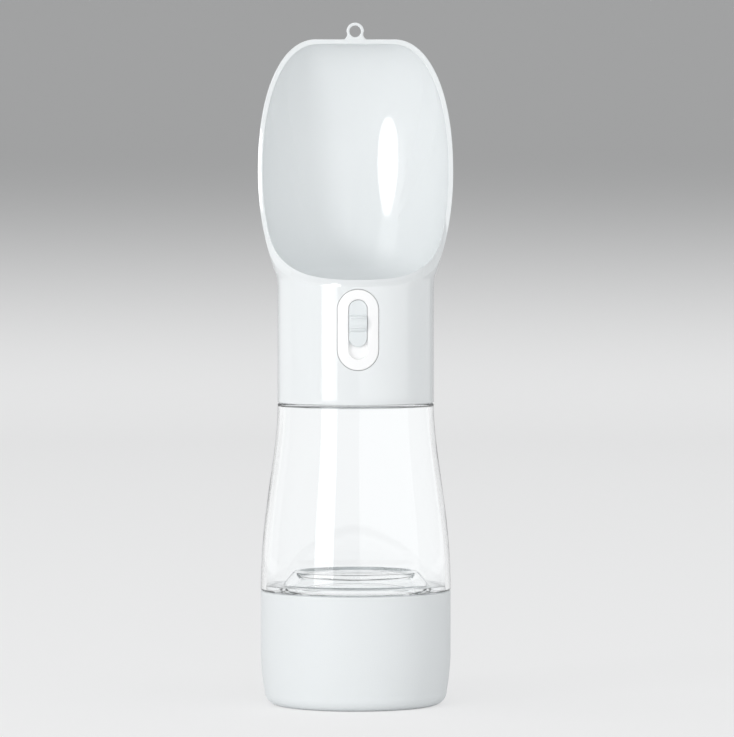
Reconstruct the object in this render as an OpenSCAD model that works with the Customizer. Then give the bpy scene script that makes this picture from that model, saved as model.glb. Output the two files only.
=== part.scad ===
// Two-in-one travel bottle for dogs. A scoop-shaped drinking bowl with a push-button valve
// screws onto a clear water bottle, and a food cup screws on below it.
// Millimetres, +Z up, origin in the middle of the food cup's underside, button towards -Y.

/* [Food cup] */
// Height of the food cup, up to its seam with the bottle
cup_h = 45.6; // [40:0.1:70]
// Outer radius of the cup and of the bottle's foot
cup_r = 37.9; // [37:0.1:42]
// Wall of the food cup
cup_wall = 2.0; // [1.6:0.1:2.4]
// Floor of the food cup
cup_floor = 2.4; // [1.6:0.1:4]
// Radius of the round corner under the cup
cup_corner = 5.4; // [3:0.1:8]
// How far the cup draws in from its straight wall to its corner
cup_draft = 1.5; // [0.5:0.1:3]
// Height above the table at which the cup's wall turns straight
cup_draft_h = 22.0; // [16:0.5:30]
// Width of the foot ring that the cup stands on
foot_ring_w = 5.0; // [3:0.1:8]
// Depth of the recess inside the foot ring
foot_recess = 0.8; // [0.4:0.1:1.2]

/* [Clear bottle] */
// Visible height of the clear bottle, from seam to seam
bottle_h = 74.8; // [60:0.1:110]
// Wall of the clear bottle
bottle_wall_t = 2.0; // [1.6:0.1:2.6]
// Power that shifts the wall's S-curve towards the shoulder
curve_power = 0.82; // [0.7:0.01:1.2]
// Height of the neck above the shoulder
neck_h = 9.0; // [9:0.1:14]
// Wall of the neck
neck_wall = 2.0; // [1.6:0.1:2.6]
// Thickness of the base's disc
base_t = 2.2; // [1.6:0.1:3]
// Radius of the raised centre at the base's floor
rise_foot_r = 29.0; // [26:0.1:30]
// Radius of the raised centre's top edge
rise_top_r = 24.6; // [20:0.1:25.5]
// How far the centre of the base rises
rise_h = 5.2; // [3:0.1:8]
// How far the raised centre is dished
rise_dish = 1.0; // [0.4:0.1:1.6]
// Depth of the base's threaded skirt below the seam
base_skirt_h = 10.2; // [10:0.1:16]
// Wall of the base's threaded skirt
base_skirt_wall = 1.8; // [1.4:0.1:2.4]

/* [Screw threads] */
// Number of thread starts
starts = 3; // [3]
// Rise of a thread in a full turn
lead = 12; // [11.8:0.1:12.4]
// Arc that each thread covers, in degrees
thread_arc = 110; // [80:5:115]
// Depth of a thread
thread_d = 1.2; // [0.8:0.05:1.25]
// Half height of a thread at its root
root_half = 1.15; // [0.9:0.05:1.2]
// Half height of a thread at its crest
crest_half = 0.6; // [0.4:0.05:0.65]
// Radial clearance between the threads and the walls that they face
thread_gap = 0.3; // [0.25:0.05:0.5]

/* [Collar] */
// Outer radius of the collar and of the bottle's shoulder
collar_r = 31.2; // [31:0.1:33]
// Wall of the collar and of the bowl
head_wall = 1.9; // [1.6:0.1:2.2]
// Visible gap at both seams
seam_gap = 0.3; // [0.2:0.05:0.5]
// Thickness of the bowl's floor
floor_t = 1.8; // [1.4:0.1:2.4]

/* [Bowl] */
// Greatest width of the bowl
bowl_w = 78.0; // [70:0.5:84]
// Width of the flat stretch at the bowl's top
top_w = 30.4; // [20:0.2:36]
// Height from the lip to the bowl's widest level
wide_h = 45.5; // [40:0.5:52]
// Height from the lip to the bowl's top
bowl_h = 98.3; // [85:0.5:120]
// Half height of the ellipse that the sides follow below the widest level
side_half_h = 70.6; // [66:0.2:76]
// Distance from the axis to the bowl's back at its widest level
back_r = 32.2; // [31.5:0.1:36]
// How far the rim leans back from the flank to the top
rim_lean = 6.0; // [3:0.5:9]
// Height above the lip at which the rim turns upright
flank_h = 18.0; // [14:0.5:24]
// Power of the outline above the widest level
top_power = 2.2; // [1.9:0.05:2.6]
// Power of the back's profile above the widest level
back_power = 2.4; // [2:0.05:2.8]
// Rise of the lip's slanting land, from its outer edge to its inner edge
lip_rise = 2.9; // [1.5:0.1:4]
// Height above the inner lip at which the rim's inner edge turns upright
inner_flank_h = 25.0; // [20:0.5:30]
// Power of the lip's curve along the angle round the axis
lip_power = 2.6; // [2:0.1:3.2]
// Power of the lip's curve along its height
lip_turn = 1.6; // [1.3:0.05:2]

/* [Hanging eye] */
// Outer radius of the hanging eye
eye_r = 3.5; // [3:0.1:5]
// Radius of the eye's hole
eye_hole_r = 2.3; // [1.5:0.1:2.6]
// Height of the eye's hole above the bowl's top
eye_rise = 3.2; // [2.9:0.1:6]
// Thickness of the eye
eye_t = 2.6; // [2:0.1:4]
// Radius of the fillets at the eye's feet
eye_fillet = 2.2; // [1:0.1:2.6]

/* [Button and lock] */
// Width of the oval button
btn_w = 16.3; // [15.5:0.1:18]
// Height of the oval button
btn_h = 31.9; // [31:0.1:36]
// Gap round the button
btn_gap = 0.25; // [0.2:0.05:0.4]
// How far the button stands out of the collar
btn_proud = 0.2; // [0:0.05:0.8]
// How far the button is pressed
btn_travel = 4.0; // [3:0.1:4]
// Wall of the button's rim and of the sleeve that guides it
btn_wall = 1.4; // [1:0.1:1.5]
// Depth of the lock's recess in the button
slot_depth = 2.0; // [1.6:0.1:2.1]
// Thickness of the button behind the recess
web_t = 1.8; // [1.5:0.1:1.9]
// Width of the lock's recess
slot_w = 7.5; // [7:0.1:8]
// Height of the lock's recess
slot_h = 23.5; // [22.5:0.1:24.5]
// Height of the lock slider
slider_h = 18.5; // [18:0.1:18.8]
// Gap round the slider in its recess
slider_gap = 0.15; // [0.1:0.05:0.2]
// Half height of the slider's thumb ridge
ridge_half = 3.4; // [3:0.1:4]
// How far the thumb ridge stands out
ridge_out = 2.0; // [1:0.1:2.6]
// Height of the fine ribs on the thumb ridge
rib_h = 0.3; // [0.2:0.05:0.4]

/* [Valve] */
// Bore radius of the valve's barrel
bore_r = 4.5; // [4.2:0.05:4.8]
// Outer radius of the valve's barrel
barrel_r = 6.3; // [6.2:0.05:6.4]
// Running clearance of the stem in its bores
run_gap = 0.06; // [0.02:0.01:0.1]
// Radius of the stem's front rod
rod_r = 2.0; // [1.8:0.05:2.1]
// Radius of the stem's waist between its lands
waist_r = 2.4; // [2.2:0.05:2.8]
// Radius of the water passages
port_r = 1.9; // [1.5:0.05:1.95]
// Outer radius of the inlet and outlet tubes
tube_r = 3.6; // [3.2:0.1:4]
// Cross-section radius of the stem's seal rings
ring_r = 0.6; // [0.5:0.02:0.65]
// Radius of the return spring's wire
wire_r = 0.35; // [0.25:0.01:0.4]
// Mean radius of the return spring
spring_r = 3.0; // [2.8:0.05:3.4]
// Curls of the return spring
spring_turns = 6; // [5:1:7]
// Thickness of the valve housing's deck
deck_t = 2.0; // [1.6:0.1:2.4]
// Thickness of the flat gasket on the bottle's mouth
neck_gasket_t = 1.3; // [1:0.1:1.8]
// Wall of the valve housing's threaded skirt
housing_wall = 1.4; // [1.2:0.05:1.6]

/* [Hidden] */
$fn = 96;

eps = 0.01;
face_gap = 0.05;             // between flat faces that meet
fit_gap = 0.15;              // between fixed parts that slip into each other
sink = 0.4;                  // how deep a rib or thread is rooted in its wall

// levels, from the table up
seam_low = cup_h;
seam_high = seam_low + bottle_h;
neck_top = seam_high + neck_h;
deck_z = neck_top + neck_gasket_t + 2 * face_gap;
deck_top = deck_z + deck_t;
sleeve_wall = btn_wall - 0.2;
btn_low = deck_top + fit_gap + sleeve_wall + btn_gap;
btn_z = btn_low + btn_h / 2;
lip_over_btn = 1.0;          // wall between the button and the lip
lip_z = btn_low + btn_h + lip_over_btn;
floor_z = lip_z - lip_over_btn + btn_gap + 0.45;
floor_top = floor_z + floor_t;
wide_z = lip_z + wide_h;
top_z = lip_z + bowl_h;
flank_z = lip_z + flank_h;
eye_z = top_z + eye_rise;

// radii of the screwed joints, each thread with its clearance to the wall that it faces
foot_r = cup_r + 0.06;
base_flange_r = foot_r - bottle_wall_t - fit_gap;
cup_in_r = cup_r - cup_wall;
base_skirt_r = cup_in_r - 2 * thread_gap - thread_d * 0.85;
cup_thread_d = cup_in_r - base_skirt_r - thread_gap;
pitch = lead / starts;
housing_r = collar_r - head_wall - fit_gap;
housing_in_r = housing_r - housing_wall;
neck_r = housing_in_r - thread_gap - thread_d;

// lengths of the button and of the valve, along Y
rim_depth = 2.1;             // the button's rim behind its web
rod_bite = 1.2;              // from the web to the rod's end inside the boss
barrel_nose = 3.0;           // the barrel's front wall, which guides the rod
ring_land = 1.9;             // from a seal ring to the end of its land
chamber_len = 8.9;           // from the front land to the middle seal ring
port_step = 6.4;             // between the ports, and between the middle and rear rings
tail_land = 4.8;             // from the rear seal ring to the spring's seat
spring_len = 11.0;
cap_plug = 2.0;
screw_len = 7.0;             // hole for the screw in the rod
stop_w = 8.0;                // width of the lock's stop rib
stop_t = 1.4;                // thickness of the lock's stop rib

// button, lock and stem, along Y
btn_face_r = collar_r + btn_proud;
slot_y = -(btn_face_r - slot_depth);
web_y = slot_y + web_t;
btn_back_y = web_y + rim_depth;
boss_y = web_y + btn_travel + 0.2;
rod_front_y = web_y + rod_bite;
barrel_front_y = boss_y + btn_travel + 0.4;
bore_front_y = barrel_front_y + barrel_nose;
land_y = bore_front_y + 0.1;
front_ring_y = land_y + ring_land;
waist_y = front_ring_y + ring_land;
middle_ring_y = waist_y + chamber_len;
inlet_y = middle_ring_y + ring_r + 0.1 + port_r;
outlet_y = inlet_y - port_step;
rear_ring_y = middle_ring_y + port_step;
tail_y = rear_ring_y + tail_land;
cap_y = tail_y + spring_len;
barrel_back_y = cap_y + cap_plug;
ring_mid_r = bore_r - run_gap - ring_r;
groove_r = ring_mid_r - ring_r - 0.04;
screw_r = 0.9;
screw_head_r = 2.2;
screw_head_t = 1.3;
boss_r = rod_r + 1.2;
slot_shift = 0.2;            // the recess sits this much above the button's middle
slot_z = btn_z + slot_shift;
lock_travel = slot_h - slider_h - 2 * slider_gap;
slider_z = slot_z + slot_h / 2 - slider_gap - slider_h / 2;
leg_half_w = 1.3;
leg_h = 2.0;
retainer_t = 1.1;
plate_over = 1.1;            // how far the retainer reaches above and below the leg
arm_h = 1.1;
arm_y = boss_y + 1.4;
// with the slider down, the retainer stays above the button's boss and its arm above the barrel
leg_z = btn_z + lock_travel + fit_gap
    + max(boss_r + leg_h / 2 + plate_over, barrel_r + arm_h - leg_h / 2 - plate_over);
stop_y = arm_y + btn_travel + 0.4;
gasket_flange_r = 5.8;
gasket_flange_z = floor_z - 1.6;

// ---- outline formulas ------------------------------------------------------------------

function mix(a, b, t) = a + (b - a) * t;
function soft_max(a, b, e) = (a + b + sqrt(pow(a - b, 2) + e * e)) / 2;
function root(base, p) = pow(max(0, base), 1 / p);

// points of an arc from angle a0 to a1 round [cx, cy]
function arc(cx, cy, r, a0, a1, n) =
    [for (i = [0:n]) [cx + r * cos(mix(a0, a1, i / n)), cy + r * sin(mix(a0, a1, i / n))]];

// Half width of the bowl at level z; inset 0 is the outside and the wall is the inside.
flat_half = top_w / 2;
function top_part(z, inset) = (z - wide_z) / (top_z - inset - wide_z);
function flat_at(inset) = flat_half - inset / 2;
function upper_half_w(z, inset) =
    flat_at(inset) + (bowl_w / 2 - inset - flat_at(inset))
        * root(1 - pow(top_part(z, inset), top_power), top_power);
function side_half_w(z, inset) =
    (bowl_w / 2 - inset) * sqrt(max(0, 1 - pow((wide_z - z) / side_half_h, 2)));
function half_w(z, inset) = z > wide_z
    ? upper_half_w(z, inset)
    : soft_max(collar_r - inset, side_half_w(z, inset), 0.4);

// How far the rim stands behind the axis at level z
function lean(z) =
    z < flank_z ? 0 : rim_lean * pow((z - flank_z) / (top_z - flank_z), 1.3);

// Distance from the axis to the bowl's back at level z
function swell(z) = sin(90 * min(1, max(0, (z - lip_z) / wide_h)));
function back_d(z, inset) = z > wide_z
    ? lean(z) + (back_r - inset - lean(z))
        * root(1 - pow(top_part(z, inset), back_power), back_power)
    : mix(collar_r, back_r, swell(z)) - inset;

// A point of the bowl's skin at level z and at angle a from the front. The skin's flat
// facets stand just clear of the collar's round wall, outside and inside.
facet_clear = 0.06;
function clear_by(inset) = inset > 0 ? -facet_clear / 2 : facet_clear;
function skin(z, a, inset) = [
    (half_w(z, inset) + clear_by(inset)) * sin(a),
    a < 90
        ? lean(z) - (collar_r - inset + clear_by(inset)) * cos(a)
        : lean(z) - (back_d(z, inset) + clear_by(inset) - lean(z)) * cos(a),
    z];

// The rim, front to top: along the lip, up the flank and over the flat top.
lip_cols = 12;
flank_cols = 18;
top_cols = 6;
cols = lip_cols + flank_cols + top_cols;
rows = 20;
function lip_level(a, low, high) =
    low + high * (1 - root(1 - pow(a / 90, lip_power), lip_turn));
function rim_angle(j) = j <= lip_cols ? 90 * j / lip_cols
    : j <= lip_cols + flank_cols ? 90
    : 90 + 90 * (j - lip_cols - flank_cols) / top_cols;
function rim_level(j, inset) =
    let (low = inset > 0 ? lip_z + lip_rise : lip_z,
         high = inset > 0 ? inner_flank_h : flank_h,
         u = (j - lip_cols) / flank_cols)
    j <= lip_cols ? lip_level(rim_angle(j), low, high)
    : u < 1 ? low + high + (top_z - inset - low - high) * sin(90 * u)
    : top_z - inset;

// Angle at which a column of the skin leaves the collar
function foot_angle(j) = j <= lip_cols ? 75 * j / lip_cols
    : j <= lip_cols + flank_cols ? 75 + 75 * (j - lip_cols) / flank_cols
    : 150 + 30 * (j - lip_cols - flank_cols) / top_cols;
shell_root_z = lip_z - 6;
function skin_point(i, j, inset) =
    let (u = (1 - cos(180 * i / rows)) / 2)
    skin(mix(shell_root_z, rim_level(j, inset), u), mix(foot_angle(j), rim_angle(j), u), inset);

// One ring of points round the shell; the left half mirrors the right half.
function ring_point(i, c, inset) = c <= cols
    ? skin_point(i, c, inset)
    : let (p = skin_point(i, 2 * cols - c, inset)) [-p[0], p[1], p[2]];
function skin_grid(inset) =
    [for (i = [0:rows], c = [0:2 * cols - 1]) ring_point(i, c, inset)];

module bowl_shell() {
    ring = 2 * cols;
    inner = ring * (rows + 1);
    last = rows * ring;
    points = concat(skin_grid(0), skin_grid(head_wall));
    outer_faces = [for (i = [0:rows - 1], c = [0:ring - 1])
        let (d = (c + 1) % ring, a = i * ring, b = a + ring)
        each [[a + c, b + d, a + d], [a + c, b + c, b + d]]];
    inner_faces = [for (i = [0:rows - 1], c = [0:ring - 1])
        let (d = (c + 1) % ring, a = inner + i * ring, b = a + ring)
        each [[a + c, a + d, b + d], [a + c, b + d, b + c]]];
    rim_faces = [for (c = [0:ring - 1])
        let (d = (c + 1) % ring)
        each [[last + c, inner + last + d, last + d],
              [last + c, inner + last + c, inner + last + d]]];
    foot_faces = [for (c = [0:ring - 1])
        let (d = (c + 1) % ring)
        each [[c, d, inner + d], [c, inner + d, inner + c]]];
    polyhedron(points, concat(outer_faces, inner_faces, rim_faces, foot_faces), convexity = 8);
}

// ---- shared shapes ---------------------------------------------------------------------

module tube(outer, inner, height) {
    difference() {
        cylinder(r = outer, h = height);
        translate([0, 0, -1]) cylinder(r = inner, h = height + 2);
    }
}

// a cylinder along Y from y0 to y1
module rod(radius, y0, y1) {
    translate([0, y0, 0]) rotate([-90, 0, 0]) cylinder(r = radius, h = y1 - y0);
}

// an upright stadium of the given width and height, from y0 to y1
module oval(width, height, y0, y1) {
    side = height - width;
    translate([0, y1, 0]) rotate([90, 0, 0]) linear_extrude(y1 - y0) {
        square([width, side], center = true);
        for (s = [-1, 1]) translate([0, s * side / 2]) circle(d = width);
    }
}

// a seal ring round the Y axis
module seal_ring() {
    rotate([90, 0, 0]) rotate_extrude() translate([ring_mid_r, 0]) circle(r = ring_r);
}

// One thread: a ridge that climbs from level z0, out of (side 1) or into (side -1) a wall.
thread_steps = 14;
function thread_ring(k, wall_r, depth, side, z0, first) =
    let (t = k / thread_steps,
         a = first + thread_arc * t,
         z = z0 + lead * thread_arc / 360 * t,
         grow = min(1, 0.25 + 0.75 * min(k, thread_steps - k) / 2),
         foot = wall_r - side * sink,
         tip = wall_r + side * depth * grow)
    [for (p = [[foot, -root_half], [tip, -crest_half], [tip, crest_half], [foot, root_half]])
        [p[0] * cos(a), p[0] * sin(a), z + p[1] * (p[0] == foot ? 1 : grow)]];
module thread(wall_r, depth, side, z0, first) {
    last = thread_steps * 4;
    points = [for (k = [0:thread_steps]) each thread_ring(k, wall_r, depth, side, z0, first)];
    walls = [for (k = [0:thread_steps - 1], e = [0:3])
        let (a = k * 4 + e, b = k * 4 + (e + 1) % 4)
        each (side > 0 ? [[a, b, b + 4], [a, b + 4, a + 4]] : [[a, b + 4, b], [a, a + 4, b + 4]])];
    caps = side > 0
        ? [[0, 3, 2], [0, 2, 1], [last, last + 1, last + 2], [last, last + 2, last + 3]]
        : [[0, 2, 3], [0, 1, 2], [last, last + 2, last + 1], [last, last + 3, last + 2]];
    polyhedron(points, concat(walls, caps), convexity = 4);
}
module threads(wall_r, depth, side, z0) {
    for (s = [0:starts - 1]) thread(wall_r, depth, side, z0, 360 / starts * s);
}
thread_rise = lead * thread_arc / 360;
neck_thread_z = neck_top - root_half - 0.3 - thread_rise;
cup_thread_z = seam_low - 2.0 - root_half - thread_rise;

// ---- food cup --------------------------------------------------------------------------

corner_r_at = cup_r - cup_draft;              // outer radius where the corner ends
draft_bow = (pow(cup_draft_h - cup_corner, 2) + pow(cup_draft, 2)) / (2 * cup_draft);
draft_angle = asin((cup_draft_h - cup_corner) / draft_bow);
function cup_profile(inset, low) = concat(
    arc(corner_r_at - cup_corner, cup_corner + low, cup_corner - inset, -90, -8, 8),
    arc(cup_r - draft_bow, cup_draft_h, draft_bow - inset, -draft_angle, 0, 6));

module food_cup() color([0.93, 0.94, 0.94]) {
    foot_out = corner_r_at - cup_corner;
    difference() {
        union() {
            rotate_extrude() difference() {
                polygon(concat([[0, 0]], cup_profile(0, 0),
                    [[cup_r, seam_low - 0.3], [cup_r - 0.3, seam_low], [0, seam_low]]));
                polygon(concat([[0, cup_floor]], cup_profile(cup_wall, cup_floor - cup_wall),
                    [[cup_in_r, seam_low - 0.5], [cup_in_r + 0.4, seam_low + eps],
                     [0, seam_low + eps]]));
            }
            threads(cup_in_r, cup_thread_d, -1, cup_thread_z - pitch / 2);
        }
        translate([0, 0, -1]) cylinder(r = foot_out - foot_ring_w, h = 1 + foot_recess);
    }
}

// ---- clear bottle ----------------------------------------------------------------------

// Outer radius of the clear wall, falling in an S from the foot to the shoulder
shoulder_z = seam_high - 2.4;
function bottle_r(z) =
    let (t = pow(min(1, max(0, (shoulder_z - z) / (shoulder_z - seam_low))), curve_power))
    mix(collar_r, foot_r, (1 - cos(180 * t)) / 2);
curve_steps = 20;
function bottle_curve(inset, z0, z1) =
    [for (i = [0:curve_steps])
        let (z = mix(z0, z1, i / curve_steps)) [bottle_r(z) - inset, z]];

module bottle_wall() color([0.90, 0.94, 0.96, 0.35]) {
    low = seam_low + seam_gap;
    inner_top = seam_high - bottle_wall_t - 0.8;
    outer = bottle_curve(0, low, shoulder_z);
    inner = bottle_curve(bottle_wall_t, low, inner_top);
    union() {
        rotate_extrude() polygon(concat(
            outer,
            arc(collar_r - 0.8, seam_high - 0.8, 0.8, 0, 90, 4),
            [[neck_r, seam_high], [neck_r, neck_top - 0.4], [neck_r - 0.4, neck_top],
             [neck_r - neck_wall, neck_top], [neck_r - neck_wall, seam_high - bottle_wall_t],
             [collar_r - bottle_wall_t - 1.6, seam_high - bottle_wall_t]],
            [for (i = [0:curve_steps]) inner[curve_steps - i]]));
        threads(neck_r, thread_d, 1, neck_thread_z);
    }
}

module bottle_base() color([0.90, 0.94, 0.96, 0.35]) {
    low = seam_low + seam_gap;
    floor_level = low + base_t;
    crest = floor_level + rise_h;
    slope_r = 1.6;
    union() {
        rotate_extrude() polygon(concat(
            [[0, crest - rise_dish - base_t], [rise_top_r - 2.4, crest - base_t - 0.4],
             [rise_foot_r - 1.6, low], [base_skirt_r - base_skirt_wall, low],
             [base_skirt_r - base_skirt_wall, low - base_skirt_h + 0.4],
             [base_skirt_r - base_skirt_wall + 0.4, low - base_skirt_h],
             [base_skirt_r - 0.4, low - base_skirt_h], [base_skirt_r, low - base_skirt_h + 0.4],
             [base_skirt_r, low], [base_flange_r, low], [base_flange_r, floor_level],
             [rise_foot_r + 1, floor_level], [rise_foot_r, floor_level + 0.2]],
            arc(rise_top_r - slope_r / 2, crest - slope_r / 2, slope_r / 2, 30, 150, 6),
            [[rise_top_r - 3.2, crest - rise_dish + 0.15], [0, crest - rise_dish]]));
        threads(base_skirt_r, cup_thread_d, 1, cup_thread_z);
    }
}

module cup_gasket() color([0.80, 0.83, 0.85]) {
    translate([0, 0, seam_low + seam_gap - 1.3])
        tube(cup_in_r - thread_gap, base_skirt_r + thread_gap, 1.1);
}

module neck_gasket() color([0.80, 0.83, 0.85]) {
    translate([0, 0, neck_top + face_gap])
        tube(neck_r + 1.1, neck_r - neck_wall - 0.6, neck_gasket_t);
}

// ---- head ------------------------------------------------------------------------------

module hanging_eye() {
    foot_half = eye_r + eye_fillet - 0.3;
    translate([0, rim_lean + 0.15 + eye_t, 0]) rotate([90, 0, 0]) linear_extrude(eye_t) difference() {
        union() {
            translate([0, eye_z]) circle(r = eye_r);
            difference() {
                translate([-foot_half, top_z - 1.2]) square([2 * foot_half, eye_fillet + 1.2]);
                for (s = [-1, 1]) translate([s * foot_half, top_z + eye_fillet - 0.15])
                    circle(r = eye_fillet);
            }
        }
        translate([0, eye_z]) circle(r = eye_hole_r);
    }
}

// the sleeve that guides the button inside the collar
module button_sleeve() {
    grown = 2 * (btn_gap + sleeve_wall);
    intersection() {
        translate([0, 0, btn_z]) oval(btn_w + grown, btn_h + grown, -collar_r, btn_back_y + 1.0);
        translate([0, 0, deck_z]) cylinder(r = collar_r - 0.9, h = lip_z - deck_z + 5);
    }
}

module bowl_head() color([0.95, 0.955, 0.96]) {
    ledge_z = deck_top + face_gap;
    difference() {
        union() {
            translate([0, 0, seam_high + seam_gap])
                tube(collar_r, collar_r - head_wall, shell_root_z + 1 - seam_high - seam_gap);
            bowl_shell();
            translate([0, 0, floor_z]) cylinder(r = collar_r - head_wall + 0.5, h = floor_t);
            translate([0, 0, ledge_z]) difference() {
                tube(collar_r - 0.9, housing_in_r, 1.5);
                translate([-btn_w / 2 - 3, -collar_r, -1]) cube([btn_w + 6, collar_r / 2, 4]);
            }
            button_sleeve();
            translate([-stop_w / 2, stop_y, leg_z + 1.6])
                cube([stop_w, stop_t, floor_z - leg_z - 1.2]);
            hanging_eye();
        }
        translate([0, 0, btn_z])
            oval(btn_w + 2 * btn_gap, btn_h + 2 * btn_gap, -collar_r - 3, btn_back_y + 3);
        translate([0, outlet_y, floor_z - 2]) cylinder(r = tube_r + fit_gap, h = floor_t + 4);
    }
}

module valve_housing() color([0.88, 0.90, 0.91]) {
    barrel_low = btn_z - barrel_r;
    difference() {
        union() {
            translate([0, 0, seam_high + 0.6]) tube(housing_r, housing_in_r, deck_top - seam_high - 0.6);
            translate([0, 0, deck_z]) cylinder(r = housing_r - 0.2, h = deck_t);
            threads(housing_in_r, thread_d, -1, neck_thread_z - pitch / 2);
            translate([0, 0, btn_z]) rod(barrel_r, barrel_front_y, barrel_back_y);
            translate([-1, barrel_front_y + 2, deck_top - 0.5])
                cube([2, barrel_back_y - barrel_front_y - 4, barrel_low - deck_top + 1.5]);
            translate([0, inlet_y, deck_top - 0.5]) cylinder(r = tube_r, h = barrel_low - deck_top + 2);
            translate([0, outlet_y, btn_z + bore_r + 0.5])
                cylinder(r = tube_r, h = floor_top - btn_z - bore_r - 0.5);
            translate([0, outlet_y, gasket_flange_z - 1.5]) cylinder(r = gasket_flange_r, h = 1.5);
        }
        translate([0, 0, btn_z]) rod(bore_r, bore_front_y, barrel_back_y + 1);
        translate([0, 0, btn_z]) rod(rod_r + run_gap, barrel_front_y - 1, bore_front_y + 1);
        translate([0, inlet_y, deck_z - 1]) cylinder(r = port_r, h = btn_z - deck_z);
        translate([0, outlet_y, btn_z]) cylinder(r = port_r, h = floor_top - btn_z + 1);
    }
}

module outlet_gasket() color([0.80, 0.83, 0.85]) {
    translate([0, outlet_y, gasket_flange_z + face_gap])
        tube(gasket_flange_r - 0.2, tube_r + fit_gap, floor_z - gasket_flange_z - 2 * face_gap);
}

module spring_cap() color([0.88, 0.90, 0.91]) {
    translate([0, 0, btn_z]) {
        rod(bore_r - face_gap, cap_y, barrel_back_y + face_gap);
        rod(barrel_r, barrel_back_y + face_gap, barrel_back_y + 1.6);
        rod(rod_r, cap_y - 1.8, cap_y + eps);
    }
}

// centre line of the return spring and the rings of its wire
spring_rings = 8;
spring_sides = 6;
spring_rise = spring_len - 2 * wire_r - 0.3;
function coil_point(k) =
    let (a = 360 * k / spring_rings, t = k / (spring_rings * spring_turns))
    [spring_r * cos(a), tail_y + wire_r + 0.15 + spring_rise * t, btn_z + spring_r * sin(a)];
function coil_ring(k) =
    let (a = 360 * k / spring_rings, c = coil_point(k))
    [for (s = [0:spring_sides - 1])
        let (b = 360 * s / spring_sides)
        c + wire_r * [cos(b) * cos(a), sin(b), cos(b) * sin(a)]];
coil_gap = min([for (k = [0:spring_rings - 1])
    norm(coil_point(k + spring_rings) - coil_point(k)) - 2 * wire_r]);
echo(least_gap_between_curls = coil_gap);

module return_spring() color([0.72, 0.73, 0.75]) {
    n = spring_rings * spring_turns;
    last = n * spring_sides;
    points = [for (k = [0:n]) each coil_ring(k)];
    walls = [for (k = [0:n - 1], s = [0:spring_sides - 1])
        let (a = k * spring_sides + s, b = k * spring_sides + (s + 1) % spring_sides)
        each [[a, b + spring_sides, b], [a, a + spring_sides, b + spring_sides]]];
    caps = [for (s = [1:spring_sides - 2])
        each [[0, s, s + 1], [last, last + s + 1, last + s]]];
    polyhedron(points, concat(walls, caps), convexity = 10);
}

// ---- button, lock and stem -------------------------------------------------------------

module valve_stem() color([0.86, 0.88, 0.89]) {
    land_r = bore_r - run_gap;
    translate([0, 0, btn_z]) difference() {
        union() {
            rod(rod_r, rod_front_y, land_y + eps);
            rod(land_r, land_y, waist_y);
            rod(waist_r, waist_y - eps, middle_ring_y - 1.4 + eps);
            rod(land_r, middle_ring_y - 1.4, tail_y);
            rod(rod_r, tail_y - eps, tail_y + 2.0);
        }
        for (y = [front_ring_y, middle_ring_y, rear_ring_y]) difference() {
            rod(bore_r + 1, y - ring_r - 0.04, y + ring_r + 0.04);
            rod(groove_r, y - 2, y + 2);
        }
        rod(screw_r + 0.02, rod_front_y - 1, rod_front_y + screw_len);
    }
}

module front_o_ring() color([0.15, 0.15, 0.16]) {
    translate([0, front_ring_y, btn_z]) seal_ring();
}

module middle_o_ring() color([0.15, 0.15, 0.16]) {
    translate([0, middle_ring_y, btn_z]) seal_ring();
}

module rear_o_ring() color([0.15, 0.15, 0.16]) {
    translate([0, rear_ring_y, btn_z]) seal_ring();
}

module stem_screw() color([0.72, 0.73, 0.75]) {
    head_y = slot_y + 0.1;
    translate([0, 0, btn_z]) difference() {
        union() {
            translate([0, head_y, 0]) rotate([-90, 0, 0])
                cylinder(r1 = screw_head_r, r2 = screw_r, h = screw_head_t);
            rod(screw_r, head_y + screw_head_t - eps, rod_front_y + screw_len - 0.6);
        }
        for (a = [0, 90]) rotate([0, a, 0]) translate([-1.2, head_y - 1, -0.25]) cube([2.4, 1.6, 0.5]);
    }
}

module push_button() color([0.99, 0.99, 0.99]) {
    pocket = 2 * btn_wall;
    leg_low = leg_z - leg_h / 2 - lock_travel - 0.15;
    difference() {
        union() {
            intersection() {
                translate([0, 0, btn_z]) difference() {
                    oval(btn_w, btn_h, -btn_face_r - 1, btn_back_y);
                    oval(btn_w - pocket, btn_h - pocket, web_y, btn_back_y + 1);
                }
                translate([0, 0, btn_low - 1]) cylinder(r = btn_face_r, h = btn_h + 2);
            }
            translate([0, 0, btn_z]) rod(boss_r, web_y - 0.3, boss_y);
        }
        translate([0, 0, slot_z]) oval(slot_w, slot_h, -btn_face_r - 3, slot_y);
        translate([0, 0, btn_z]) {
            rod(rod_r + 0.05, rod_front_y, boss_y + 1);
            rod(screw_r + 0.1, slot_y - 1, rod_front_y + 1);
            translate([0, slot_y - eps, 0]) rotate([-90, 0, 0])
                cylinder(r1 = screw_head_r + 0.2, r2 = screw_r + 0.1, h = screw_head_t + 0.1);
        }
        translate([-leg_half_w - 0.2, slot_y - 1, leg_low])
            cube([2 * leg_half_w + 0.4, web_t + 2, leg_h + lock_travel + 0.3]);
    }
}

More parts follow.
